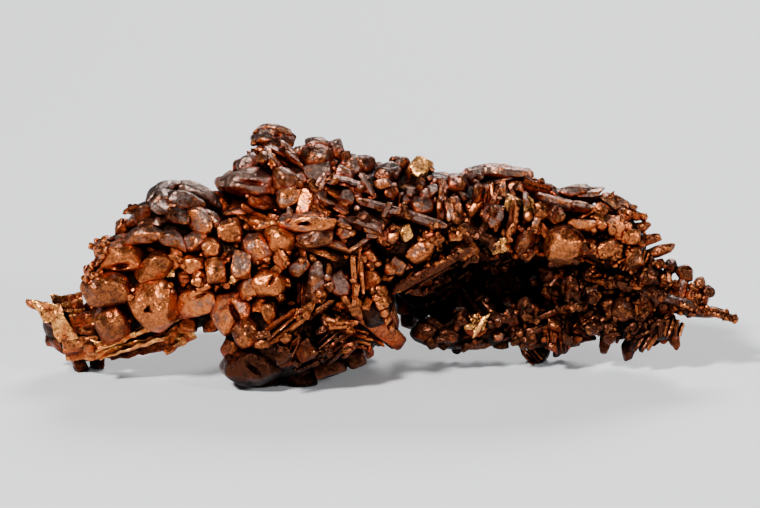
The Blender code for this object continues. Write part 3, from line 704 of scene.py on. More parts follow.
# Striped plates, which are blades side by side: across, down, the way that they run in degrees, how many,
# how far apart, length, thickness, lift toward the viewer.
STRIPES = (
    (70.0, 37.6, -18, 4, 1.0, 6.0, 0.9, 1.4),
    (73.2, 38.0, -12, 3, 1.0, 4.0, 0.9, 1.2),
    (98.6, 40.4, 68, 5, 0.9, 5.6, 0.9, 1.2),
    (103.4, 36.4, 28, 5, 0.9, 6.6, 0.9, 0.4),
    (107.4, 38.2, -22, 5, 0.9, 5.6, 0.9, 0.6),
    (115.0, 38.8, 10, 4, 0.9, 8.0, 1.0, 0.8),
    (121.4, 41.4, -34, 5, 0.8, 4.6, 0.8, 0.6),
    (112.6, 48.8, 14, 5, 1.1, 6.4, 1.0, 2.6),
    (112.4, 52.0, 10, 3, 0.8, 4.6, 0.8, 1.8),
    (128.0, 52.0, 72, 6, 0.8, 5.0, 0.8, 1.2),
    (124.8, 52.4, 60, 4, 0.8, 3.6, 0.8, 1.4),
    (114.4, 57.0, 80, 5, 0.7, 5.2, 0.7, 1.4),
    (116.0, 57.8, 62, 4, 0.7, 3.4, 0.7, 1.4),
    (95.6, 61.4, -52, 7, 0.9, 7.6, 0.8, 2.0),
    (92.2, 62.0, -72, 4, 0.8, 6.0, 0.8, 1.6),
    (107.0, 70.6, -50, 6, 0.7, 5.2, 0.8, 0.4),
    (111.8, 67.6, 96, 6, 0.8, 7.0, 0.8, 1.2),
    (117.4, 67.4, 18, 3, 0.8, 5.0, 0.7, 0.8),
    (129.0, 67.0, 62, 5, 1.1, 7.4, 1.3, 0.8),
    (134.4, 65.6, 78, 5, 1.0, 4.2, 1.2, 0.8),
    (122.6, 66.6, 70, 5, 0.8, 5.0, 0.8, 0.4),
    (118.0, 63.6, 40, 4, 0.7, 3.6, 0.7, 1.0),
    (126.6, 60.4, 84, 4, 0.7, 3.6, 0.7, 0.8),
    (57.2, 64.9, 36, 3, 1.2, 10.0, 1.3, 4.2),
    (57.4, 69.2, 68, 5, 0.9, 4.2, 0.6, 2.6),
    (66.4, 69.0, 40, 5, 1.1, 7.6, 1.0, 1.4),
    (60.6, 72.0, 30, 4, 1.0, 5.6, 1.0, 1.0),
    (71.4, 67.6, -12, 4, 1.0, 6.4, 1.0, 1.2),
    (68.4, 64.6, -28, 3, 1.0, 5.4, 0.9, 1.6),
    (71.6, 54.4, 87, 3, 0.8, 8.0, 0.9, 2.8),
    (68.8, 57.0, -58, 3, 1.0, 5.4, 1.0, 1.8),
    (84.8, 54.8, 33, 4, 0.9, 14.0, 0.9, 1.4),
    (97.6, 40.6, 84, 3, 0.9, 5.0, 0.9, 1.0),
    (81.4, 40.2, 80, 3, 1.3, 4.2, 1.2, 1.2),
    (85.6, 40.4, 84, 3, 1.4, 4.4, 1.3, 1.2),
    (90.2, 41.2, 86, 3, 1.4, 4.4, 1.3, 1.2),
    (57.4, 31.4, -36, 3, 1.5, 8.0, 1.7, 1.0),
    (51.4, 31.6, -30, 3, 1.1, 5.4, 1.1, 0.6),
    (53.0, 43.2, -24, 3, 1.2, 12.0, 1.4, 1.8),
    (47.0, 41.6, -26, 3, 1.0, 6.0, 1.1, 1.4),
    (66.0, 37.0, 70, 3, 1.2, 5.0, 1.2, 1.0),
    (62.0, 58.4, 82, 4, 1.3, 8.6, 1.4, 1.4),
)
# Rows of beads: from (across, down) to (across, down), how many, size, lift.
BEADS = (
    (80.0, 56.6, 88.4, 52.8, 9, 1.0, 2.4),
    (80.6, 57.6, 86.6, 54.8, 6, 0.9, 2.0),
    (74.6, 58.0, 78.2, 65.2, 6, 1.7, 2.8),
    (95.0, 64.2, 98.0, 65.0, 4, 1.1, 2.0),
    (138.4, 61.6, 143.0, 62.8, 5, 1.0, 1.2),
    (143.6, 62.6, 147.2, 64.2, 5, 1.2, 0.4),
)
# Fingers that stand out of the outline: root (across, down), tip (across, down), thickness, toward, and the
# size of the knob on the tip, or 0.
FINGERS = (
    (9.6, 62.4, 4.8, 60.2, 2.0, -6.0, 0.0),
    (120.8, 39.0, 126.6, 41.6, 2.4, -2.0, 1.8),
    (123.0, 42.0, 128.8, 43.4, 2.4, -2.0, 1.8),
    (123.6, 46.8, 130.4, 44.8, 2.4, -1.5, 0.0),
    (125.0, 49.2, 132.2, 47.4, 2.5, -1.0, 0.0),
    (127.0, 52.0, 135.0, 49.1, 2.5, -1.5, 0.0),
    (127.4, 53.4, 132.0, 52.8, 2.6, -1.0, 2.0),
    (131.6, 59.4, 134.2, 53.4, 2.6, -2.5, 3.0),
    (135.6, 61.4, 137.0, 54.6, 2.8, -2.5, 3.4),
    (138.4, 62.0, 140.0, 56.8, 2.4, -2.5, 2.8),
    (139.6, 62.2, 141.8, 58.4, 2.2, -2.5, 2.6),
    (136.4, 60.4, 134.7, 57.0, 2.0, -2.0, 2.0),
    (137.6, 60.8, 138.8, 57.6, 1.9, -1.6, 2.0),
    (138.6, 61.4, 139.4, 59.2, 1.8, -1.4, 1.8),
    (127.2, 66.0, 125.6, 72.4, 3.0, -8.5, 0.0),
    (121.8, 65.6, 121.0, 71.0, 2.6, -8.5, 0.0),
    (133.0, 65.0, 133.0, 69.0, 2.6, -7.0, 0.0),
)
# Pits and slits in the large crystals: across, down, half length, half width, turn in degrees, depth, and
# how many sides: 3 is a triangular pit, 0 is a slit.
PITS = (
    (30.2, 61.6, 2.6, 2.2, 24, 0.8, 0),
    (30.0, 61.8, 1.6, 1.3, 24, 2.0, 3),
    (24.6, 53.2, 2.2, 0.7, 8, 1.5, 0),
    (55.2, 27.4, 1.4, 0.7, 20, 1.0, 0),
    (40.5, 59.0, 1.9, 0.4, 22, 0.9, 0),
    (47.2, 62.4, 4.0, 0.7, -64, 1.4, 0),
    (45.2, 61.0, 1.6, 0.6, 30, 0.5, 0),
    (61.2, 44.8, 2.4, 0.7, 4, 1.4, 3),
    (50.4, 36.6, 3.2, 0.6, -8, 1.1, 0),
    (57.6, 31.0, 3.0, 0.5, -38, 1.2, 0),
    (54.6, 56.0, 1.6, 0.5, 60, 1.0, 0),
    (51.0, 73.6, 3.4, 0.6, -40, 0.9, 0),
)
# Crystals that the nugget stands on: across, down, wide, tall, turn in degrees.
FEET = (
    (15.4, 72.8, 3.2, 4.4, 20),
    (19.0, 72.4, 3.2, 3.8, 0),
    (108.0, 70.8, 4.6, 5.2, -35),
    (52.0, 75.2, 9.6, 4.8, 0),
    (60.6, 75.6, 6.4, 4.2, 0),
    (69.0, 70.0, 7.0, 6.4, 0),
)
FOOT_REACH = 0.86
FOOT_TRIM = 0.4
print(len(BOULDERS), "boulders,", len(BLOCKS), "blocks and", len(SLABS), "ridged plates")
print(len(RODS), "rods,", len(ARCS), "rolled rims and", len(STRIPES), "striped plates")
print(len(BEADS), "rows of beads and", len(FINGERS), "fingers")

# %% [markdown]
# ## Colour by place
# Handling and cleaning polished the left side to salmon copper. The crest keeps a grey-brown skin, the wing
# and the branch are darker brown, and a few facets shine like gold. A painted texture could hold this, but
# it would be right from one side only. So each crystal takes a tint of its own from the brushes below, by
# its place on the plate, and carries it on its points for the material to read.

# %% Tints: across, down, reach, then how bright, how grey and how golden, each up to 1
# A brightness below 0 is darker than the brown skin. Those rows paint shade where the nugget lies in shadow,
# such as the hollow under the wing, the belly's underside and the lower branch.
TINTS = (
    (30.0, 57.0, 13.0, 0.90, 0.30, 0.03),
    (50.0, 57.0, 8.0, 0.95, 0.20, 0.05),
    (16.0, 66.0, 8.0, 0.20, 0.00, 0.30),
    (30.0, 67.0, 7.0, 0.65, 0.00, 0.25),
    (35.0, 42.0, 9.0, -0.20, 0.40, 0.02),
    (46.0, 46.0, 6.0, 1.00, 0.30, 0.20),
    (57.0, 42.0, 6.0, 0.95, 0.40, 0.05),
    (58.0, 33.0, 9.0, 0.55, 0.70, 0.02),
    (64.0, 45.0, 5.0, 0.60, 0.45, 0.02),
    (80.0, 38.0, 9.0, 0.28, 0.55, 0.02),
    (58.0, 71.0, 8.0, -0.45, 0.02, 0.00),
    (50.0, 74.0, 4.5, -0.20, 0.00, 0.00),
    (49.8, 66.0, 3.0, 0.80, 0.10, 0.00),
    (57.0, 65.2, 3.5, 0.80, 0.10, 0.05),
    (76.0, 64.0, 3.0, 1.00, 0.00, 0.15),
    (56.0, 64.0, 4.0, 0.60, 0.10, 0.05),
    (74.0, 62.0, 5.0, 0.75, 0.15, 0.10),
    (63.0, 56.0, 4.0, 0.20, 0.45, 0.00),
    (105.0, 38.0, 9.0, 0.35, 0.50, 0.03),
    (105.0, 45.0, 8.0, 0.25, 0.30, 0.05),
    (119.0, 49.5, 6.0, 0.55, 0.05, 0.25),
    (112.6, 48.6, 3.0, 0.60, 0.25, 0.00),
    (88.0, 48.0, 5.0, 0.45, 0.15, 0.20),
    (96.0, 57.0, 7.0, -0.90, 0.00, 0.00),
    (104.0, 66.0, 9.0, 0.00, 0.15, 0.03),
    (96.0, 64.4, 2.5, 0.70, 0.00, 0.35),
    (124.0, 66.0, 8.0, -0.25, 0.05, 0.05),
    (124.0, 60.6, 4.0, 0.15, 0.10, 0.10),
    (112.0, 56.0, 6.0, -0.30, 0.05, 0.00),
    (140.0, 61.0, 6.0, 0.20, 0.20, 0.03),
)
# Single facets that shine: across and down.
GOLDEN = (
    (102.4, 40.6),
    (105.4, 41.4),
    (80.8, 46.6),
    (100.0, 49.4),
    (83.6, 33.2),
    (34.0, 54.2),
    (46.8, 55.0),
    (59.6, 40.0),
    (12.0, 64.0),
    (95.8, 64.4),
)
GOLDEN_REACH = 1.4
# How far crystals differ from the brushes, and how many of them have any gold.
TINT_SPREAD = (0.14, 0.14, 0.08)
GOLD_CHANCE = 0.5


def tint(rng, across, down):
    """How bright, grey and golden a crystal at this place is, with its own small difference."""
    rows = np.array(TINTS)
    distance = np.hypot(rows[:, 0] - across, rows[:, 1] - down) / rows[:, 2]
    weight = np.exp(-distance * distance) + 1e-6
    mixed = (rows[:, 3:] * weight[:, None]).sum(axis=0) / weight.sum()
    bright, grey, gold = mixed + rng.normal(size=3) * TINT_SPREAD
    gold = gold if rng.random() < GOLD_CHANCE else 0.0
    if min(math.hypot(across - a, down - d) for a, d in GOLDEN) < GOLDEN_REACH:
        gold = 1.0
    return float(np.clip(bright, -1, 1)), float(np.clip(grey, 0, 1)), float(np.clip(gold, 0, 1))


print(len(TINTS), "brushes and", len(GOLDEN), "golden facets")

# %% [markdown]
# ## Pits
# A few boulders have slits and three-sided pits where other crystals broke away. Cutting them with a
# boolean would leave sharp walls, so the points over a pit are pushed in instead, with a soft rim.

# %% Pits and slits
def pitted(shape):
    """The same crystal, with the pits that lie over it pressed into its front."""
    points, faces, marks = shape
    on = to_plate(points)
    sunk = np.zeros(len(points))
    for across, down, half_long, half_wide, turn, depth, sides in PITS:
        angle = math.radians(turn)
        right, up = on[:, 0] - across, down - on[:, 1]
        along = (right * math.cos(angle) + up * math.sin(angle)) / half_long
        beside = (up * math.cos(angle) - right * math.sin(angle)) / half_wide
        away = np.hypot(along, beside)
        if sides:
            ways = [math.tau * i / sides for i in range(sides)]
            away = np.max([along * math.cos(way) + beside * math.sin(way) for way in ways], axis=0) * 2
        share = np.clip(1.15 - away, 0, 1)
        sunk = np.maximum(sunk, depth * share * share * (3 - 2 * share))
    front = np.clip(marks["tip"] * 2 + 0.4, 0, 1)
    # A pit counts as lying back, so the copper paints it darker, as shade.
    marks["tip"] = marks["tip"] - sunk
    return points - OUTWARD * (sunk * front)[:, None], faces, marks


print(len(PITS), "pits and slits")

# %% [markdown]
# ## From the tables to crystals
# Each row becomes one crystal or a small group of them. A little random tumble keeps neighbours from
# standing in line, and the same seed gives the same nugget every time.

# %% Growing the crystals of the tables
# How far a crystal may tumble, in degrees.
TUMBLE = 14.0
# The faces lie inside the half widths, so the crystals are made a little fuller to touch their neighbours.
FULLNESS = 1.1


def plated(rng, kind, across, down, wide, tall, turn, lift):
    """A boulder or block of the tables."""
    centre = on_plate(across, down, core_depth(across, down) + lift)
    axes = plate_axes(turn, rng.uniform(-TUMBLE, TUMBLE), rng.uniform(-TUMBLE, TUMBLE))
    halves = np.array((wide, tall, math.sqrt(wide * tall))) / 2 * FULLNESS
    return crystal(rng, kind, centre, axes, halves, tint(rng, across, down))


def long_one(rng, kind, start, end, thick, place):
    """A crystal that runs from one point to another."""
    axes = axes_along(end - start)
    halves = np.array((np.linalg.norm(end - start), thick, thick)) / 2
    return crystal(rng, kind, (start + end) / 2, axes, halves, tint(rng, *place))


def bowed(shape, start, end, height):
    """The same crystal, bowed upward between its ends."""
    points, faces, marks = shape
    way = end - start
    share = (points - start) @ way / (way @ way)
    side = unit(np.cross(OUTWARD, way))
    return points + side * (4 * height * share * (1 - share))[:, None], faces, marks


# A striped plate narrows toward its outer blades, and each blade is deeper than it is thick.
NARROWING = 0.4
BLADE_DEPTH = 1.8


def striped(rng, across, down, way, count, apart, length, thick, lift):
    """Blades that lie side by side, the middle ones longest."""
    found = []
    toward = core_depth(across, down) + lift
    angle = math.radians(way)
    for i in range(count):
        step = i - (count - 1) / 2
        share = abs(step) / max(count / 2, 1)
        half = length / 2 * (1 - NARROWING * share) * rng.uniform(0.85, 1.1)
        middle_across = across + math.sin(angle) * step * apart
        middle_down = down + math.cos(angle) * step * apart
        depth = toward - share * thick * 0.6 + rng.normal() * 0.15
        lean = rng.normal() * 0.06
        right, up = math.cos(angle + lean) * half, math.sin(angle + lean) * half
        start = on_plate(middle_across - right, middle_down + up, depth - 0.2 * thick)
        end = on_plate(middle_across + right, middle_down - up, depth + rng.normal() * 0.3)
        axes = axes_along(end - start)
        halves = np.array((half, thick / 2, thick * BLADE_DEPTH / 2))
        made = crystal(rng, "rod", (start + end) / 2, axes, halves, tint(rng, across, down))
        found.append((middle_across, middle_down, made))
    return found


def beaded(rng, from_across, from_down, to_across, to_down, count, size, lift):
    """Small knobs in a row."""
    found = []
    for share in np.linspace(0, 1, count):
        across = from_across + (to_across - from_across) * share
        down = from_down + (to_down - from_down) * share
        centre = on_plate(across, down, core_depth(across, down) + lift)
        halves = rng.uniform(0.85, 1.2, 3) * size / 2
        axes = plate_axes(*rng.uniform(-90, 90, 3))
        found.append((across, down, crystal(rng, "boulder", centre, axes, halves, tint(rng, across, down))))
    return found


def ends_of(from_across, from_down, to_across, to_down, lift):
    """The two ends of a long crystal, where the core reaches, and the place midway."""
    start = on_plate(from_across, from_down, core_depth(from_across, from_down) + lift)
    end = on_plate(to_across, to_down, core_depth(to_across, to_down) + lift)
    return start, end, ((from_across + to_across) / 2, (from_down + to_down) / 2)


def rods_and_rims(rng):
    """The rods of the table, then the rolled rims."""
    found = []
    for *places, thick, lift in RODS:
        start, end, place = ends_of(*places, lift)
        found.append((*place, long_one(rng, "rod", start, end, thick, place)))
    for *places, thick, lift, bow in ARCS:
        start, end, place = ends_of(*places, lift)
        rim = long_one(rng, "boulder", start, end, thick, place)
        found.append((*place, bowed(rim, start, end, bow)))
    return found


def fingers(rng):
    """The fingers, each with a knob on its tip where the table gives one."""
    found = []
    for root_across, root_down, tip_across, tip_down, thick, toward, knob in FINGERS:
        start = on_plate(root_across, root_down, toward)
        end = on_plate(tip_across, tip_down, toward)
        place = (root_across, root_down)
        found.append((*place, long_one(rng, "boulder", start, end, thick, place)))
        if knob:
            halves = rng.uniform(0.9, 1.15, 3) * knob / 2
            axes = plate_axes(*rng.uniform(-90, 90, 3))
            found.append((*place, crystal(rng, "boulder", end, axes, halves, tint(rng, *place))))
    return found


def feet(rng):
    """The crystals that the nugget stands on, as far toward the viewer as lets them reach the ground."""
    found = []
    for across, down, wide, tall, turn in FEET:
        halves = np.array((wide, tall, math.sqrt(wide * tall))) / 2
        up = (GROUND_DOWN - down) * math.cos(LEAN)
        toward = GROUND_TOWARD + (halves[1] * FOOT_REACH - FOOT_TRIM - up) / math.sin(LEAN)
        centre = on_plate(across, down, toward)
        foot = crystal(rng, "block", centre, plate_axes(turn), halves, tint(rng, across, down))
        found.append((across, down, foot))
    return found


def table_crystals(rng):
    """Every crystal of the tables, with the place on the plate that says which piece it belongs to."""
    found = []
    for kind, rows in (("boulder", BOULDERS), ("block", BLOCKS), ("rod", SLABS)):
        for row in rows:
            found.append((row[0], row[1], pitted(plated(rng, kind, *row))))
    found += rods_and_rims(rng)
    for row in STRIPES:
        found += striped(rng, *row)
    for row in BEADS:
        found += beaded(rng, *row)
    return found + fingers(rng) + feet(rng)


print("the longest rod runs", round(max(math.hypot(r[2] - r[0], r[3] - r[1]) for r in RODS), 1), "mm")

# %% [markdown]
# ## Leaves
# The left end is copper that grew as thin crumpled leaf. A flat plane with a bump texture would keep a
# straight outline, and cloth would hang. So each leaf is a patch between four corners, folded and creased
# like foil, with a real thickness.

# %% Leaves: four corners, each across, down and toward, then how many folds, and how golden
# How golden a leaf is also sets how bright it is. The low values of the leaves underneath paint shade on
# them.
LEAVES = (
    ((8.0, 60.2, -2.6), (11.8, 61.2, -0.4), (15.8, 67.6, 0.6), (11.8, 68.4, -1.6), 2, 0.9),
    ((5.6, 59.8, -4.0), (9.4, 60.4, -2.6), (12.6, 63.6, -0.6), (8.8, 64.6, -2.6), 2, 0.9),
    ((9.6, 59.0, -5.0), (16.2, 58.8, -4.4), (17.0, 63.2, -1.0), (11.2, 62.6, -1.4), 5, 0.5),
    ((13.4, 61.8, -1.8), (20.0, 62.6, -1.2), (19.6, 67.6, -0.2), (14.6, 66.8, 0.4), 3, 0.55),
    ((12.0, 67.2, -0.6), (19.6, 67.4, 0.6), (20.6, 71.6, -1.6), (13.0, 72.2, -4.4), 3, 0.5),
    ((8.4, 63.0, -5.0), (11.4, 66.8, -2.6), (13.0, 71.2, -5.0), (9.0, 69.0, -7.2), 2, 0.1),
    ((19.0, 68.8, 1.2), (27.4, 65.6, 3.6), (27.8, 67.0, 4.6), (19.6, 70.6, 2.4), 2, 0.85),
    ((26.6, 65.8, 3.4), (37.4, 61.8, 4.8), (37.8, 63.0, 5.6), (27.2, 67.4, 4.4), 2, 0.85),
    ((19.6, 70.4, 2.0), (33.0, 66.6, 3.8), (33.2, 67.8, 4.6), (20.2, 72.0, 2.6), 2, 0.85),
    ((21.0, 70.6, 0.4), (33.6, 65.6, 2.0), (34.2, 69.8, 0.2), (22.0, 71.8, -1.2), 3, 0.1),
    ((31.0, 68.6, 0.8), (36.8, 63.8, 2.4), (39.6, 67.6, 1.4), (33.4, 71.0, -0.4), 2, 0.65),
    ((16.8, 67.4, 0.4), (21.4, 69.0, 1.6), (21.6, 71.8, 0.2), (17.6, 71.4, -1.0), 2, 0.8),
)
LEAF_GRID = 30
LEAF_THICK = 0.6
FOLD_HEIGHT = 0.9
# How far the folds slant across a leaf.
FOLD_SLANT = 0.35
# Waves on a leaf: how far apart they are, and how high.
FOLD_WOBBLE = (4.0, 0.25)
LEAF_WAVE = (4.2, 0.35)
LEAF_CRINKLE = (1.0, 0.11)
RAGGED = (2.4, 0.25)


def leaf(rng, first, second, third, fourth, folds, golden):
    """A closed sheet between four corners, folded and crumpled like foil."""
    first, second, third, fourth = (on_plate(*corner) for corner in (first, second, third, fourth))
    share = np.linspace(0, 1, LEAF_GRID)
    across, down = np.meshgrid(share, share, indexing="ij")
    across, down = across.ravel()[:, None], down.ravel()[:, None]
    top = (1 - across) * first + across * second
    bottom = (1 - across) * fourth + across * third
    middle = (1 - down) * top + down * bottom
    normal = unit(np.cross(second - first, fourth - first))
    normal = normal if normal @ OUTWARD > 0 else -normal
    wobble = FOLD_WOBBLE[1] * waves(middle, rng, FOLD_WOBBLE[0])
    way = (down[:, 0] + FOLD_SLANT * across[:, 0]) * folds + wobble + rng.random()
    height = FOLD_HEIGHT * (np.abs(way % 2 - 1) - 0.5)
    wave = LEAF_WAVE[1] * waves(middle, rng, LEAF_WAVE[0])
    crinkle = LEAF_CRINKLE[1] * waves(middle, rng, LEAF_CRINKLE[0])
    height += wave + crinkle
    ragged = np.column_stack([waves(middle, rng, RAGGED[0]) for _ in range(3)]) * RAGGED[1]
    middle = middle + height[:, None] * normal + ragged
    rim = np.minimum(np.minimum(across, 1 - across), np.minimum(down, 1 - down)) * 8
    thick = LEAF_THICK * (0.5 + 0.5 * np.clip(rim, 0, 1))
    points = np.vstack((middle + normal * thick / 2, middle - normal * thick / 2))
    # Brightness follows how golden a leaf is, so the leaves underneath are painted darker, as shade. The back
    # of a leaf counts as lying back, which darkens it a little.
    marks = {"tone": golden - 0.2, "grey": 0.0, "gold": golden * 0.8, "seed": rng.random()}
    marks["tip"] = np.concatenate((np.full(len(middle), 0.8), np.full(len(middle), -0.6)))
    return (*closed(points, leaf_faces()), marks)


def leaf_faces():
    """The triangles of a closed sheet: front, back and the four edges."""
    count = LEAF_GRID
    index = np.arange(count * count).reshape(count, count)
    a, b = index[:-1, :-1].ravel(), index[1:, :-1].ravel()
    c, d = index[1:, 1:].ravel(), index[:-1, 1:].ravel()
    front = np.vstack((np.column_stack((a, b, c)), np.column_stack((a, c, d))))
    back = front[:, ::-1] + count * count
    ring = np.concatenate((index[:, 0], index[-1, 1:], index[-2::-1, -1], index[0, -2:0:-1]))
    following = np.roll(ring, -1)
    below = ring + count * count
    below_following = following + count * count
    edge = np.column_stack((ring, below, following))
    other_half = np.column_stack((following, below, below_following))
    return np.vstack((front, back, edge, other_half))


print(len(LEAVES), "leaves of", len(leaf_faces()), "triangles")


# %% [markdown]
# ## Small crystals in fields
# Between the large crystals lie hundreds of small ones. A particle system could scatter them, but it
# wouldn't know where the boulders must stay bare. So each is dropped toward the plate from the viewer's
# side, and stays where it first touches copper.

# %% Fields: across, down, half widths, how many, smallest and largest in millimetres, share of long
# crystals, and the way that the long ones lie, in degrees
FIELDS = (
    (34.0, 44.0, 9.0, 6.0, 40, 1.1, 2.4, 0.4, -30),
    (46.0, 52.4, 3.0, 2.0, 12, 0.8, 1.5, 0.0, 0),
    (20.4, 50.2, 2.8, 3.2, 30, 1.0, 2.0, 0.0, 0),
    (18.8, 54.2, 2.2, 2.2, 14, 1.0, 1.8, 0.0, 0),
    (28.4, 43.6, 4.4, 3.0, 22, 1.0, 2.2, 0.1, 0),
    (53.6, 27.6, 4.0, 2.4, 14, 1.0, 1.8, 0.1, 0),
    (53.0, 52.4, 2.0, 2.0, 10, 0.8, 1.4, 0.0, 0),
    (46.6, 46.6, 3.2, 3.2, 16, 1.0, 1.8, 0.1, 0),
    (60.0, 37.0, 13.0, 8.0, 90, 1.2, 2.8, 0.5, -40),
    (58.0, 42.0, 12.0, 4.0, 40, 1.2, 2.8, 0.6, -25),
    (62.0, 34.5, 6.0, 3.0, 14, 0.9, 2.0, 0.3, 60),
    (78.0, 38.0, 12.0, 6.0, 60, 1.2, 2.6, 0.5, -70),
    (72.0, 46.0, 11.0, 5.0, 50, 1.1, 2.4, 0.5, -20),
    (42.0, 55.0, 14.0, 6.0, 50, 0.9, 1.8, 0.2, 0),
    (28.0, 57.0, 9.0, 8.0, 20, 0.9, 1.6, 0.1, 0),
    (60.0, 56.0, 6.0, 8.0, 30, 1.1, 2.4, 0.6, 80),
    (108.0, 43.0, 19.0, 8.0, 130, 1.0, 2.4, 0.5, 70),
    (118.0, 49.5, 8.0, 4.5, 80, 0.9, 1.7, 0.1, 0),
    (104.5, 48.0, 3.2, 3.6, 24, 0.8, 1.5, 0.0, 0),
    (89.0, 46.8, 6.0, 2.6, 34, 0.8, 1.7, 0.1, -20),
    (86.0, 50.6, 6.0, 3.0, 30, 0.9, 2.0, 0.3, 30),
    (98.0, 51.5, 8.0, 3.0, 40, 0.9, 2.0, 0.3, 60),
    (88.0, 54.5, 9.0, 3.0, 20, 1.0, 2.0, 0.5, 35),
    (117.0, 57.5, 8.0, 4.0, 60, 0.9, 2.2, 0.3, 40),
    (94.0, 66.0, 11.0, 4.0, 60, 0.9, 2.8, 0.5, 25),
    (96.0, 64.0, 4.0, 2.4, 26, 0.7, 1.3, 0.0, 0),
    (109.0, 65.0, 11.0, 4.6, 70, 0.9, 2.6, 0.5, 30),
    (124.0, 62.0, 10.0, 5.4, 100, 0.8, 2.0, 0.4, 50),
    (130.5, 56.5, 6.0, 4.0, 50, 0.7, 1.5, 0.1, 60),
    (138.5, 61.8, 8.0, 1.5, 40, 0.6, 1.1, 0.0, 0),
    (145.0, 63.2, 2.4, 1.0, 14, 0.7, 1.2, 0.0, 0),
    (56.0, 69.0, 5.0, 4.0, 8, 1.6, 3.0, 0.6, 30),
    (64.0, 68.0, 8.0, 7.0, 40, 1.4, 3.2, 0.7, 35),
    (73.0, 56.0, 6.0, 6.0, 20, 1.0, 2.4, 0.5, 70),
    (92.0, 57.0, 12.0, 6.0, 16, 1.2, 2.4, 0.4, 30),
)
# Of the crystals that aren't long, how often each kind grows.
FIELD_KINDS = (("block", 0.5), ("boulder", 0.35), ("knob", 0.15))
# The half widths of a long one, and how far it strays from the field's way, in degrees.
SLIM = (1.5, 0.75, 0.65)
GRAIN_SPREAD = 22.0
# Small sizes are more common than large ones: 1.0 would make them equally so.
MOSTLY_SMALL = 1.6
DROP_FROM = 60.0


def surface_of(shapes):
    """A search tree over the surface of the crystals made so far."""
    points, faces, start = [], [], 0
    for placed, triangles, _ in shapes:
        points.append(placed)
        faces.append(triangles + start)
        start += len(placed)
    return BVHTree.FromPolygons(np.vstack(points).tolist(), np.vstack(faces).tolist())


def small_crystal(rng, point, normal, size, place, slim, grain):
    """A small crystal, partly sunk in a surface: a compact one stands on it, a long one lies along it."""
    if rng.random() < slim:
        angle = math.radians(grain + rng.normal() * GRAIN_SPREAD)
        along = math.cos(angle) * RIGHT + math.sin(angle) * UPWARD + rng.normal(size=3) * 0.15
        along = unit(along - 0.8 * (along @ normal) * normal)
        beside = unit(np.cross(normal, along))
        axes = np.array((along, beside, np.cross(along, beside)))
        halves = np.array(SLIM) * rng.uniform(0.8, 1.25, 3) * size / 2
        kind = "rod"
    else:
        lean = unit(normal + rng.normal(size=3) * 0.5)
        beside = unit(np.cross(lean, rng.normal(size=3)))
        axes = np.array((lean, beside, np.cross(lean, beside)))
        halves = rng.uniform(0.75, 1.25, 3) * size / 2
        kind = str(rng.choice([name for name, _ in FIELD_KINDS], p=[share for _, share in FIELD_KINDS]))
    return crystal(rng, kind, point + normal * size * 0.1, axes, halves, tint(rng, *place), normal)


# Crumbs leave the middles of the boulders that are wider than this, in millimetres, clear.
CLEAR_ABOVE = 4.1
CLEAR_SHARE = 0.44


def on_rim(across, down):
    """Whether a place lies along the middle of a rolled rim, which stays bare."""
    for from_across, from_down, to_across, to_down, thick, *_ in ARCS:
        right, below = to_across - from_across, to_down - from_down
        over, under = across - from_across, down - from_down
        share = (over * right + under * below) / (right * right + below * below)
        share = min(max(share, 0.0), 1.0)
        if math.hypot(over - share * right, under - share * below) < CLEAR_SHARE * thick:
            return True
    return False


def on_boulder(across, down):
    """Whether a place lies on the face of a large boulder, which stays bare."""
    for middle_across, middle_down, wide, tall, *_ in BOULDERS + BLOCKS + SLABS:
        right = (across - middle_across) / (wide * CLEAR_SHARE)
        below = (down - middle_down) / (tall * CLEAR_SHARE)
        if wide > CLEAR_ABOVE and right * right + below * below < 1:
            return True
    return False


def field_crystals(rng, tree):
    """The small crystals of every field."""
    found = []
    for across, down, half_across, half_down, count, smallest, largest, slim, grain in FIELDS:
        for _ in range(count):
            way, out = rng.uniform(0, math.tau), math.sqrt(rng.random())
            at_across = across + half_across * out * math.cos(way)
            at_down = down + half_down * out * math.sin(way)
            start = on_plate(at_across, at_down, DROP_FROM)
            hit, normal, _, _ = tree.ray_cast(Vector(start), Vector(-OUTWARD))
            if hit is None or on_boulder(at_across, at_down) or on_rim(at_across, at_down):
                continue
            size = smallest + (largest - smallest) * rng.random() ** MOSTLY_SMALL
            place = (at_across, at_down)
            placed = small_crystal(rng, np.array(hit), np.array(normal), size, place, slim, grain)
            found.append((at_across, at_down, placed))
    return found


print(sum(row[4] for row in FIELDS), "small crystals to drop")

# %% [markdown]
# ## The sides that the plate doesn't show
# Nobody sees the back in the photograph, but the nugget can be turned round. A mirrored front would look
# false, so large crystals are set half into the core, in the solid's own places, and small ones are dropped
# on them from outside.

# %% The sides that the plate doesn't show
BACK_SEED = 31
BACK_CRYSTALS = 34
BACK_SIZE = (6.5, 11.0)
BACK_SHAPE = (0.7, 1.2)
BACK_SPACING = 0.6
# A thin mass takes smaller crystals: the least share, and the mass in millimetres that adds 1 to it.
THIN_SHARE = 0.45
THICK_MASS = 12
# Under this, squared, a place is inside a mass. The rim of a crystal is tested at this many places.
BURIED = 0.86
RING = 8
BACK_SMALL = 380
BACK_SMALL_FROM = 20
BACK_SMALL_SHARE = 0.7
BACK_SLIM = 0.1
ABOVE_GROUND = 1.0
# The small ones stay off the masses' front halves: 1 is toward the viewer.
BACK_ONLY = 0.1
# How much of their size they keep from the outline that the photograph shows.
BACK_INSIDE = 0.2
BACK_SMALL_SIZE = (1.8, 4.2)


def behind_core(across, down, margin):
    """Whether the core hides everything within the margin of this place from the front."""
    for i in range(RING):
        angle = math.tau * i / RING
        rim_across, rim_down = across + margin * math.cos(angle), down + margin * math.sin(angle)
        if min(mass_square(row, rim_across, rim_down) for row in CORE) > 1:
            return False
    return True


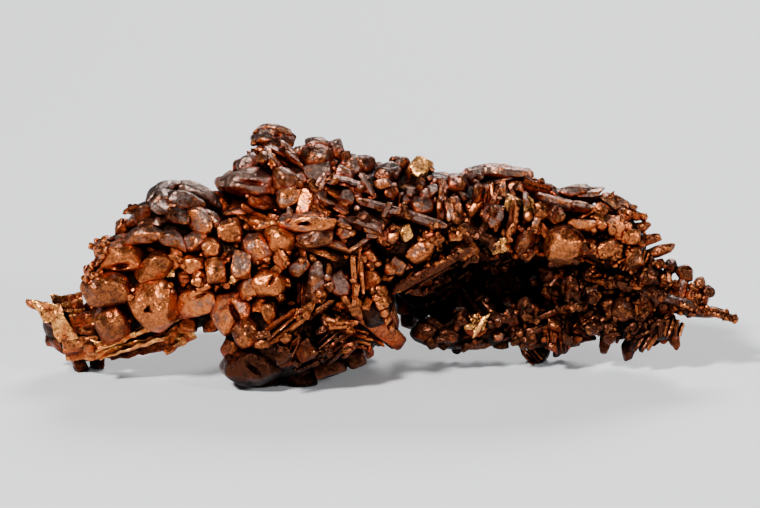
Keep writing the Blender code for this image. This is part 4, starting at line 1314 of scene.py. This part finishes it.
def buried(place, own):
    """Whether a place lies inside a core mass other than its own."""
    for row in CORE:
        offset = [(p - middle) / half for p, middle, half in zip(place, row[:3], row[3:6])]
        if row is not own and sum(o * o for o in offset) < BURIED:
            return True
    return False


def core_place(chance):
    """A place on the surface of the core, as across, down and toward, its direction and its mass."""
    areas = [row[3] * row[4] + row[4] * row[5] + row[3] * row[5] for row in CORE]
    row = chance.choices(CORE, areas)[0]
    direction = Vector([chance.gauss(0, 1) for _ in range(3)]).normalized()
    return [middle + d * half for middle, d, half in zip(row[:3], direction, row[3:6])], direction, row


def back_crystals(rng):
    """The large crystals behind, in the same places as in the solid, and the small ones among them."""
    found = []
    chance = random.Random(BACK_SEED)
    while len(found) < BACK_CRYSTALS:
        place, direction, row = core_place(chance)
        size = chance.uniform(*BACK_SIZE) * min(1.0, THIN_SHARE + min(row[3:6]) / THICK_MASS)
        turns = [chance.uniform(-90, 90) for _ in range(3)]
        halves = np.array([chance.uniform(*BACK_SHAPE) * size / 2 for _ in range(3)])
        kind = chance.choice(("block", "boulder"))
        centre = on_plate(*place)
        if direction.z > 0 or centre[2] < size / 2 or buried(place, row):
            continue
        if not behind_core(place[0], place[1], size / 2):
            continue
        if any(np.linalg.norm(centre - other[2]) < BACK_SPACING * size for other in found):
            continue
        own_tint = tint(rng, place[0], place[1])
        shape = crystal(rng, kind, centre, plate_axes(*turns), halves, own_tint, -OUTWARD)
        found.append((place[0], place[1], centre, shape))
    return [(across, down, shape) for across, down, _, shape in found]


def small_back_crystals(rng, tree):
    """Small crystals over the back, the top and the underside, dropped on the surface from outside."""
    found = []
    chance = random.Random(BACK_SEED + 1)
    while len(found) < BACK_SMALL:
        place, direction, row = core_place(chance)
        if direction.z > BACK_ONLY or buried(place, row):
            continue
        steps = np.array((direction.x, -direction.y, direction.z)) @ PLATE
        start = on_plate(*place) + steps * BACK_SMALL_FROM
        hit, normal, _, _ = tree.ray_cast(Vector(start), Vector(-steps))
        if hit is None or hit.z < ABOVE_GROUND:
            continue
        size = min(chance.uniform(*BACK_SMALL_SIZE), min(row[3:6]) * BACK_SMALL_SHARE)
        across, down, _ = to_plate(np.array([hit]))[0]
        if not behind_core(across, down, size * BACK_INSIDE):
            continue
        grain = rng.uniform(0, 180)
        spot, size = (across, down), min(size, hit.z)
        small = small_crystal(rng, np.array(hit), np.array(normal), size, spot, BACK_SLIM, grain)
        found.append((*spot, small))
    return found


print(BACK_CRYSTALS, "large and", BACK_SMALL, "small crystals for the back")


# %% [markdown]
# ## The pieces
# All crystals that lie in one part of the nugget are fused into one closed surface, as they grew. Joining
# them would be quicker, but it would leave their buried faces inside. A boolean union takes those away, and
# the manifold solver is quick because every crystal is closed. The ground flattens what would reach below
# it.

# %% Which piece a crystal belongs to, and how it is fused
PIECES = (
    ("leafy_end", 21.0, 67.0),
    ("left_boulders", 32.0, 54.0),
    ("middle_boulders", 48.0, 55.0),
    ("crest", 58.0, 36.0),
    ("shoulder", 68.0, 46.0),
    ("belly", 58.0, 71.0),
    ("pointed_lobe", 74.0, 60.0),
    ("saddle", 84.0, 42.0),
    ("wing", 102.0, 43.0),
    ("wing_end", 119.0, 46.0),
    ("branch", 97.0, 65.0),
    ("branch_end", 119.0, 63.0),
    ("tail", 133.0, 60.0),
)
# Edges bent by more than this stay crisp.
SHARP_FROM = math.radians(32.0)
CORE_DETAIL = 4
# The core's marks: how dark it is, which paints shade where it shows between the crystals and in the hollow,
# and how far back it counts as lying, which darkens it further.
CORE_SHADE_TONE = -0.9
CORE_TIP = -0.8


def core_shape(rng, row):
    """One core mass, dented like the rest."""
    across, down, toward, *halves, turn = row
    directions, faces = BALLS[CORE_DETAIL]
    points = directions * np.array(halves)
    points = points * (1 + 0.03 * waves(points, rng, 3.0))[:, None]
    placed = points @ plate_axes(turn) + on_plate(across, down, toward)
    marks = {"tone": CORE_SHADE_TONE, "grey": 0.0, "gold": 0.0, "seed": rng.random()}
    marks["tip"] = np.full(len(placed), CORE_TIP)
    return placed, faces, marks


def mesh_of(name, shape):
    """A mesh in metres, with the marks as attributes of its points."""
    points, faces, marks = shape
    mesh = bpy.data.meshes.new(name)
    mesh.from_pydata((points * MM).tolist(), [], faces.tolist())
    for mark, values in marks.items():
        layer = mesh.attributes.new(mark, "FLOAT", "POINT")
        layer.data.foreach_set("value", np.broadcast_to(values, len(points)).astype(np.float32))
    return mesh


def fused(name, shapes):
    """One closed surface from crystals that overlap."""
    group = bpy.data.collections.new(name)
    bpy.context.scene.collection.children.link(group)
    for i, shape in enumerate(shapes[1:]):
        group.objects.link(bpy.data.objects.new(f"{name}_{i}", mesh_of(f"{name}_{i}", shape)))
    first = bpy.data.objects.new(name, mesh_of(name, shapes[0]))
    bpy.context.scene.collection.objects.link(first)
    fuse = first.modifiers.new("fuse", "BOOLEAN")
    fuse.operation = "UNION"
    fuse.solver = "MANIFOLD"
    fuse.operand_type = "COLLECTION"
    fuse.collection = group
    mesh = bpy.data.meshes.new_from_object(first.evaluated_get(bpy.context.evaluated_depsgraph_get()))
    first.modifiers.clear()
    first.data = mesh
    for helper in list(group.objects):
        bpy.data.objects.remove(helper)
    bpy.data.collections.remove(group)
    stand_on_ground(mesh)
    mesh.shade_smooth()
    mesh.set_sharp_from_angle(angle=SHARP_FROM)
    return first


def stand_on_ground(mesh):
    """Flattens what would reach below the ground."""
    points = np.empty(len(mesh.vertices) * 3, np.float32)
    mesh.vertices.foreach_get("co", points)
    points[2::3] = np.maximum(points[2::3], 0)
    mesh.vertices.foreach_set("co", points)
    mesh.update()


def nearest_piece(across, down):
    """The piece whose middle is nearest to a place of the plate."""
    return min(PIECES, key=lambda piece: math.hypot(piece[1] - across, piece[2] - down))[0]


print(len(PIECES), "pieces by place")

# %% Grow everything and fuse it, piece by piece
SEED = 17
LEAFY_END = (10.0, 66.0)
rng = np.random.default_rng(SEED)
cores = [core_shape(rng, row) for row in CORE]
large = table_crystals(rng)
leaves = [(*LEAFY_END, leaf(rng, *row)) for row in LEAVES]
behind = back_crystals(rng)
tree = surface_of(cores + [shape for _, _, shape in large + leaves + behind])
small = field_crystals(rng, tree) + small_back_crystals(rng, tree)
groups = {name: [] for name, _, _ in PIECES}
groups["core_and_back"] = list(cores) + [shape for _, _, shape in behind]
for across, down, shape in large + leaves + small:
    groups[nearest_piece(across, down)].append(shape)
pieces = []
for name, shapes in groups.items():
    piece = fused(name, shapes)
    pieces.append(piece)
    print(f"{name}: {len(shapes)} crystals, {len(piece.data.polygons)} faces")
print("all:", sum(len(piece.data.polygons) for piece in pieces), "faces")

# %% [markdown]
# ## Copper
# The metal is bright salmon where it is rubbed, and brown where the skin has stayed. Gaps and the hollow
# under the wing are painted nearly black as shade, and concave creases are painted darker. Grey tarnish lies
# on the crest and in patches, and facets that face up are painted greyer, as a sheen. Narrow places glow red,
# where copper lights copper. An image could be wrapped round the nugget, but it would stretch over so many
# crystals. Nodes read each point instead: how open it is, how sharp its edge is, and the marks that its
# crystal carries.

# %% A small language for shader sums
class Number:
    """A number that the shader works out for each point, used in ordinary arithmetic."""

    def __init__(self, tree, socket):
        self.tree = tree
        self.socket = socket

    def join(self, operation, *others):
        """A Math node. Its sockets share one name, so they go by place."""
        sockets = dict(enumerate((self, *others)))
        return new_node(self.tree, "ShaderNodeMath", {"operation": operation}, sockets, 0)

    def __add__(self, other):
        return self.join("ADD", other)

    __radd__ = __add__

    def __mul__(self, other):
        return self.join("MULTIPLY", other)

    __rmul__ = __mul__

    def __sub__(self, other):
        return self.join("SUBTRACT", other)

    def __rsub__(self, other):
        return (self * -1.0) + other

    def between(self, low, high):
        """0 up to low, 1 from high on, and a smooth step between them."""
        settings = {"interpolation_type": "SMOOTHSTEP"}
        sockets = {"Value": self, "From Min": low, "From Max": high}
        return new_node(self.tree, "ShaderNodeMapRange", settings, sockets, "Result")


def connect(tree, value, slot):
    """Links a worked-out value to a socket, or sets a constant on it."""
    if isinstance(value, Number):
        tree.links.new(value.socket, slot)
    else:
        slot.default_value = value


def new_node(tree, kind, settings, sockets, output):
    """Any node: its settings first, then its sockets, by name or by place."""
    made = tree.nodes.new(kind)
    for key, value in settings.items():
        setattr(made, key, value)
    for key, value in sockets.items():
        connect(tree, value, made.inputs[key])
    return Number(tree, made.outputs[output])


class Shader:
    """One material's nodes."""

    def __init__(self, name):
        self.material = bpy.data.materials.new(name)
        self.material.use_nodes = True
        self.tree = self.material.node_tree
        self.surface = self.tree.nodes["Principled BSDF"]

    def node(self, kind, settings, sockets, output):
        """A node of this material."""
        return new_node(self.tree, kind, settings, sockets, output)

    def mark(self, name):
        """A mark that the crystals carry."""
        return self.node("ShaderNodeAttribute", {"attribute_name": name}, {}, "Fac")

    def noise(self, place, scale, detail=3.0, roughness=0.55):
        """Cloudy noise, whose scale is in clouds per metre."""
        sockets = {"Vector": place, "Scale": scale, "Detail": detail, "Roughness": roughness}
        return self.node("ShaderNodeTexNoise", {"normalize": True}, sockets, "Fac")

    def gaps(self, reach):
        """1 in the open and less where copper stands within this reach, in metres."""
        return self.node("ShaderNodeAmbientOcclusion", {"samples": 8}, {"Distance": reach}, "AO")

    def mix(self, share, first, second):
        """A blend of two colours. Its sockets share names with those of other blends, so they go by place."""
        sockets = {0: share, 6: first, 7: second}
        return self.node("ShaderNodeMix", {"data_type": "RGBA"}, sockets, 2)


# %% The copper itself
BRIGHT = (0.58, 0.160, 0.042, 1.0)
BROWN = (0.080, 0.023, 0.011, 1.0)
DARK = (0.003, 0.0014, 0.001, 1.0)
EMBER = (0.52, 0.055, 0.010, 1.0)
GREY = (0.150, 0.112, 0.096, 1.0)
GOLD = (0.90, 0.38, 0.095, 1.0)
# How far apart the walls of narrow and wide gaps are, and how deep the relief is, in metres.
NARROW_GAP = 0.0030
WIDE_GAP = 0.0180
RELIEF_DEPTH = 0.0010


def copper():
    """Native copper with its skin, tarnish and wear, painted shade in its gaps and a painted sheen on top."""
    shader = Shader("native_copper")
    place = shader.node("ShaderNodeTexCoord", {}, {}, "Object")
    facing = shader.node("ShaderNodeTexCoord", {}, {}, "Normal")
    up = shader.node("ShaderNodeSeparateXYZ", {}, {"Vector": facing}, "Z")
    tone, grey, gold = shader.mark("tone"), shader.mark("grey"), shader.mark("gold")
    seed, tip = shader.mark("seed"), shader.mark("tip")
    edge = shader.node("ShaderNodeNewGeometry", {}, {}, "Pointiness")
    near, wide = shader.gaps(NARROW_GAP), shader.gaps(WIDE_GAP)
    clouds = shader.noise(place, 240.0)
    grain = shader.noise(place, 1500.0, 4.0, 0.65)
    fine = shader.noise(place, 2600.0, 2.0, 0.7)
    blotches = shader.noise(place, 480.0, 3.0)
    # How open a point is, by ambient occlusion. It is lower at the base of each crystal, in pits, on the core
    # and on the back of a leaf, and it drives the painted shade below.
    open_air = near * wide * 1.5 + tip * 0.08 + (clouds - 0.5) * 0.15
    # Pointiness: sharp ridges come out brighter, as real wear, and concave creases between crystals darker,
    # as painted shade.
    worn = (edge - 0.5) * 3.5 + (grain - 0.5) * 0.6 + (fine - 0.5) * 0.8
    # The share of rubbed salmon over brown skin, kept low by painted shade in creases and by brightness marks
    # below 0.
    rubbed_and_lit = (tone * 1.1 + (blotches - 0.5) * 1.2 + (seed - 0.5) * 0.8 + worn).between(0.10, 1.10)
    colour = shader.mix(rubbed_and_lit, BROWN, BRIGHT)
    # The grey mark and the blotches are grey tarnish. The share that grows on facets that face up is a
    # painted sheen.
    tarnish = grey + up * 0.28 + (blotches - 0.5) * 1.5 + (clouds - 0.5) * 0.8 + (seed - 0.5) * 0.6 - worn
    tarnish = tarnish.between(0.35, 0.80)
    colour = shader.mix(tarnish * 0.85, colour, GREY)
    glow = (1.0 - open_air.between(0.50, 1.05)) * (clouds + tone * 0.45 - up * 0.15).between(0.35, 0.80)
    colour = shader.mix(glow * 0.9, colour, EMBER)
    golden = (gold * 1.2 + (blotches - 0.5) * 2.2 + worn * 0.5).between(0.45, 1.20)
    colour = shader.mix(golden * 0.9, colour, GOLD)
    cracks = shader.noise(place, 620.0, 4.0, 0.6)
    cracks = 1.0 - (cracks - 0.5).join("ABSOLUTE").between(0.0, 0.035)
    # Painted shade: gaps and the hollow under the wing, which ambient occlusion finds, go nearly black.
    gap_shade = 1.0 - open_air.between(0.18, 0.70)
    # Painted shade of the gaps, thin dark cracks, and painted shade where the brightness mark is below 0.
    shade_and_cracks = gap_shade + cracks * 0.45 - (tone * 0.6).join("MINIMUM", 0.0)
    colour = shader.mix(shade_and_cracks.join("MINIMUM", 0.97), colour, DARK)
    connect(shader.tree, colour, shader.surface.inputs["Base Color"])
    rough = 0.30 + gap_shade * 0.30 + tarnish * 0.08 + (grain - 0.5) * 0.4 - golden * 0.05
    connect(shader.tree, rough, shader.surface.inputs["Roughness"])
    shader.surface.inputs["Metallic"].default_value = 1.0
    dents = shader.noise(place, 420.0, 2.0, 0.45)
    relief = dents * 0.8 - cracks * 0.12 + grain * 0.13 + fine * 0.03
    sockets = {"Height": relief, "Strength": 0.7, "Distance": RELIEF_DEPTH}
    bump = shader.node("ShaderNodeBump", {}, sockets, "Normal")
    connect(shader.tree, bump, shader.surface.inputs["Normal"])
    return shader.material


COPPER = copper()
for piece in pieces:
    piece.data.materials.clear()
    piece.data.materials.append(COPPER)
    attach(piece, BODY)
    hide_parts(NODE)
print("one copper for", len(pieces), "pieces")

# %% [markdown]
# ## The floor, the lights and the camera
# A pale floor, three soft lamps and a long lens at the photograph's angle. Small hard lamps would make
# every facet glitter, so they are wide and soft. A short lens would make the middle bulge, so the camera
# stands far off and the nugget looks as it does on the plate.

# %% Floor and lights
FLOOR = 4.0
LAMPS = (
    ("key", (-0.60, -0.80, 0.95), 0.18, 36.0),
    ("fill", (0.85, -0.70, 0.50), 0.22, 8.0),
    ("back", (0.20, 0.80, 0.70), 0.40, 12.0),
)
PALE = (0.74, 0.75, 0.77, 1.0)
FLOOR_ROUGHNESS = 0.7
LAMPS_AIM = (0, 0, 0.02)
SKY = (0.9, 0.93, 1.0, 1.0)
SKY_STRENGTH = 0.08


def floor():
    """A plain pale floor."""
    bpy.ops.mesh.primitive_plane_add(size=FLOOR, location=(0, 0, 0))
    made = bpy.context.object
    made.name = "floor"
    shader = Shader("pale_floor")
    shader.surface.inputs["Base Color"].default_value = PALE
    shader.surface.inputs["Roughness"].default_value = FLOOR_ROUGHNESS
    made.data.materials.append(shader.material)


def lamp(name, place, size, power):
    """A soft square lamp that faces the nugget."""
    light = bpy.data.lights.new(name, "AREA")
    light.size = size
    light.energy = power
    made = bpy.data.objects.new(name, light)
    made.location = place
    made.rotation_euler = (Vector(LAMPS_AIM) - Vector(place)).to_track_quat("-Z", "Y").to_euler()
    bpy.context.scene.collection.objects.link(made)


def sky(strength):
    """A faint even light from all round."""
    world = bpy.data.worlds.new("studio")
    world.use_nodes = True
    background = world.node_tree.nodes["Background"]
    background.inputs["Color"].default_value = SKY
    background.inputs["Strength"].default_value = strength
    bpy.context.scene.world = world


floor()
for row in LAMPS:
    lamp(*row)
sky(SKY_STRENGTH)
print(len(LAMPS), "lamps and a faint sky")

# %% The camera, so that the nugget fills the frame as it fills the photograph
LENS = 250.0
FILM = 36.0


def camera():
    """A long lens that looks straight at the plate."""
    wide = PICTURE[0] * MM_PER_PIXEL * MM
    far = LENS / FILM * wide
    middle = on_plate(PICTURE[0] / 2 * MM_PER_PIXEL, PICTURE[1] / 2 * MM_PER_PIXEL, 0.0) * MM
    data = bpy.data.cameras.new("camera")
    data.lens = LENS
    data.sensor_width = FILM
    made = bpy.data.objects.new("camera", data)
    made.location = middle + OUTWARD * far
    made.rotation_euler = Matrix(PLATE.tolist()).transposed().to_euler()
    bpy.context.scene.collection.objects.link(made)
    bpy.context.scene.camera = made
    print("the camera stands", round(far, 2), "m away")


camera()
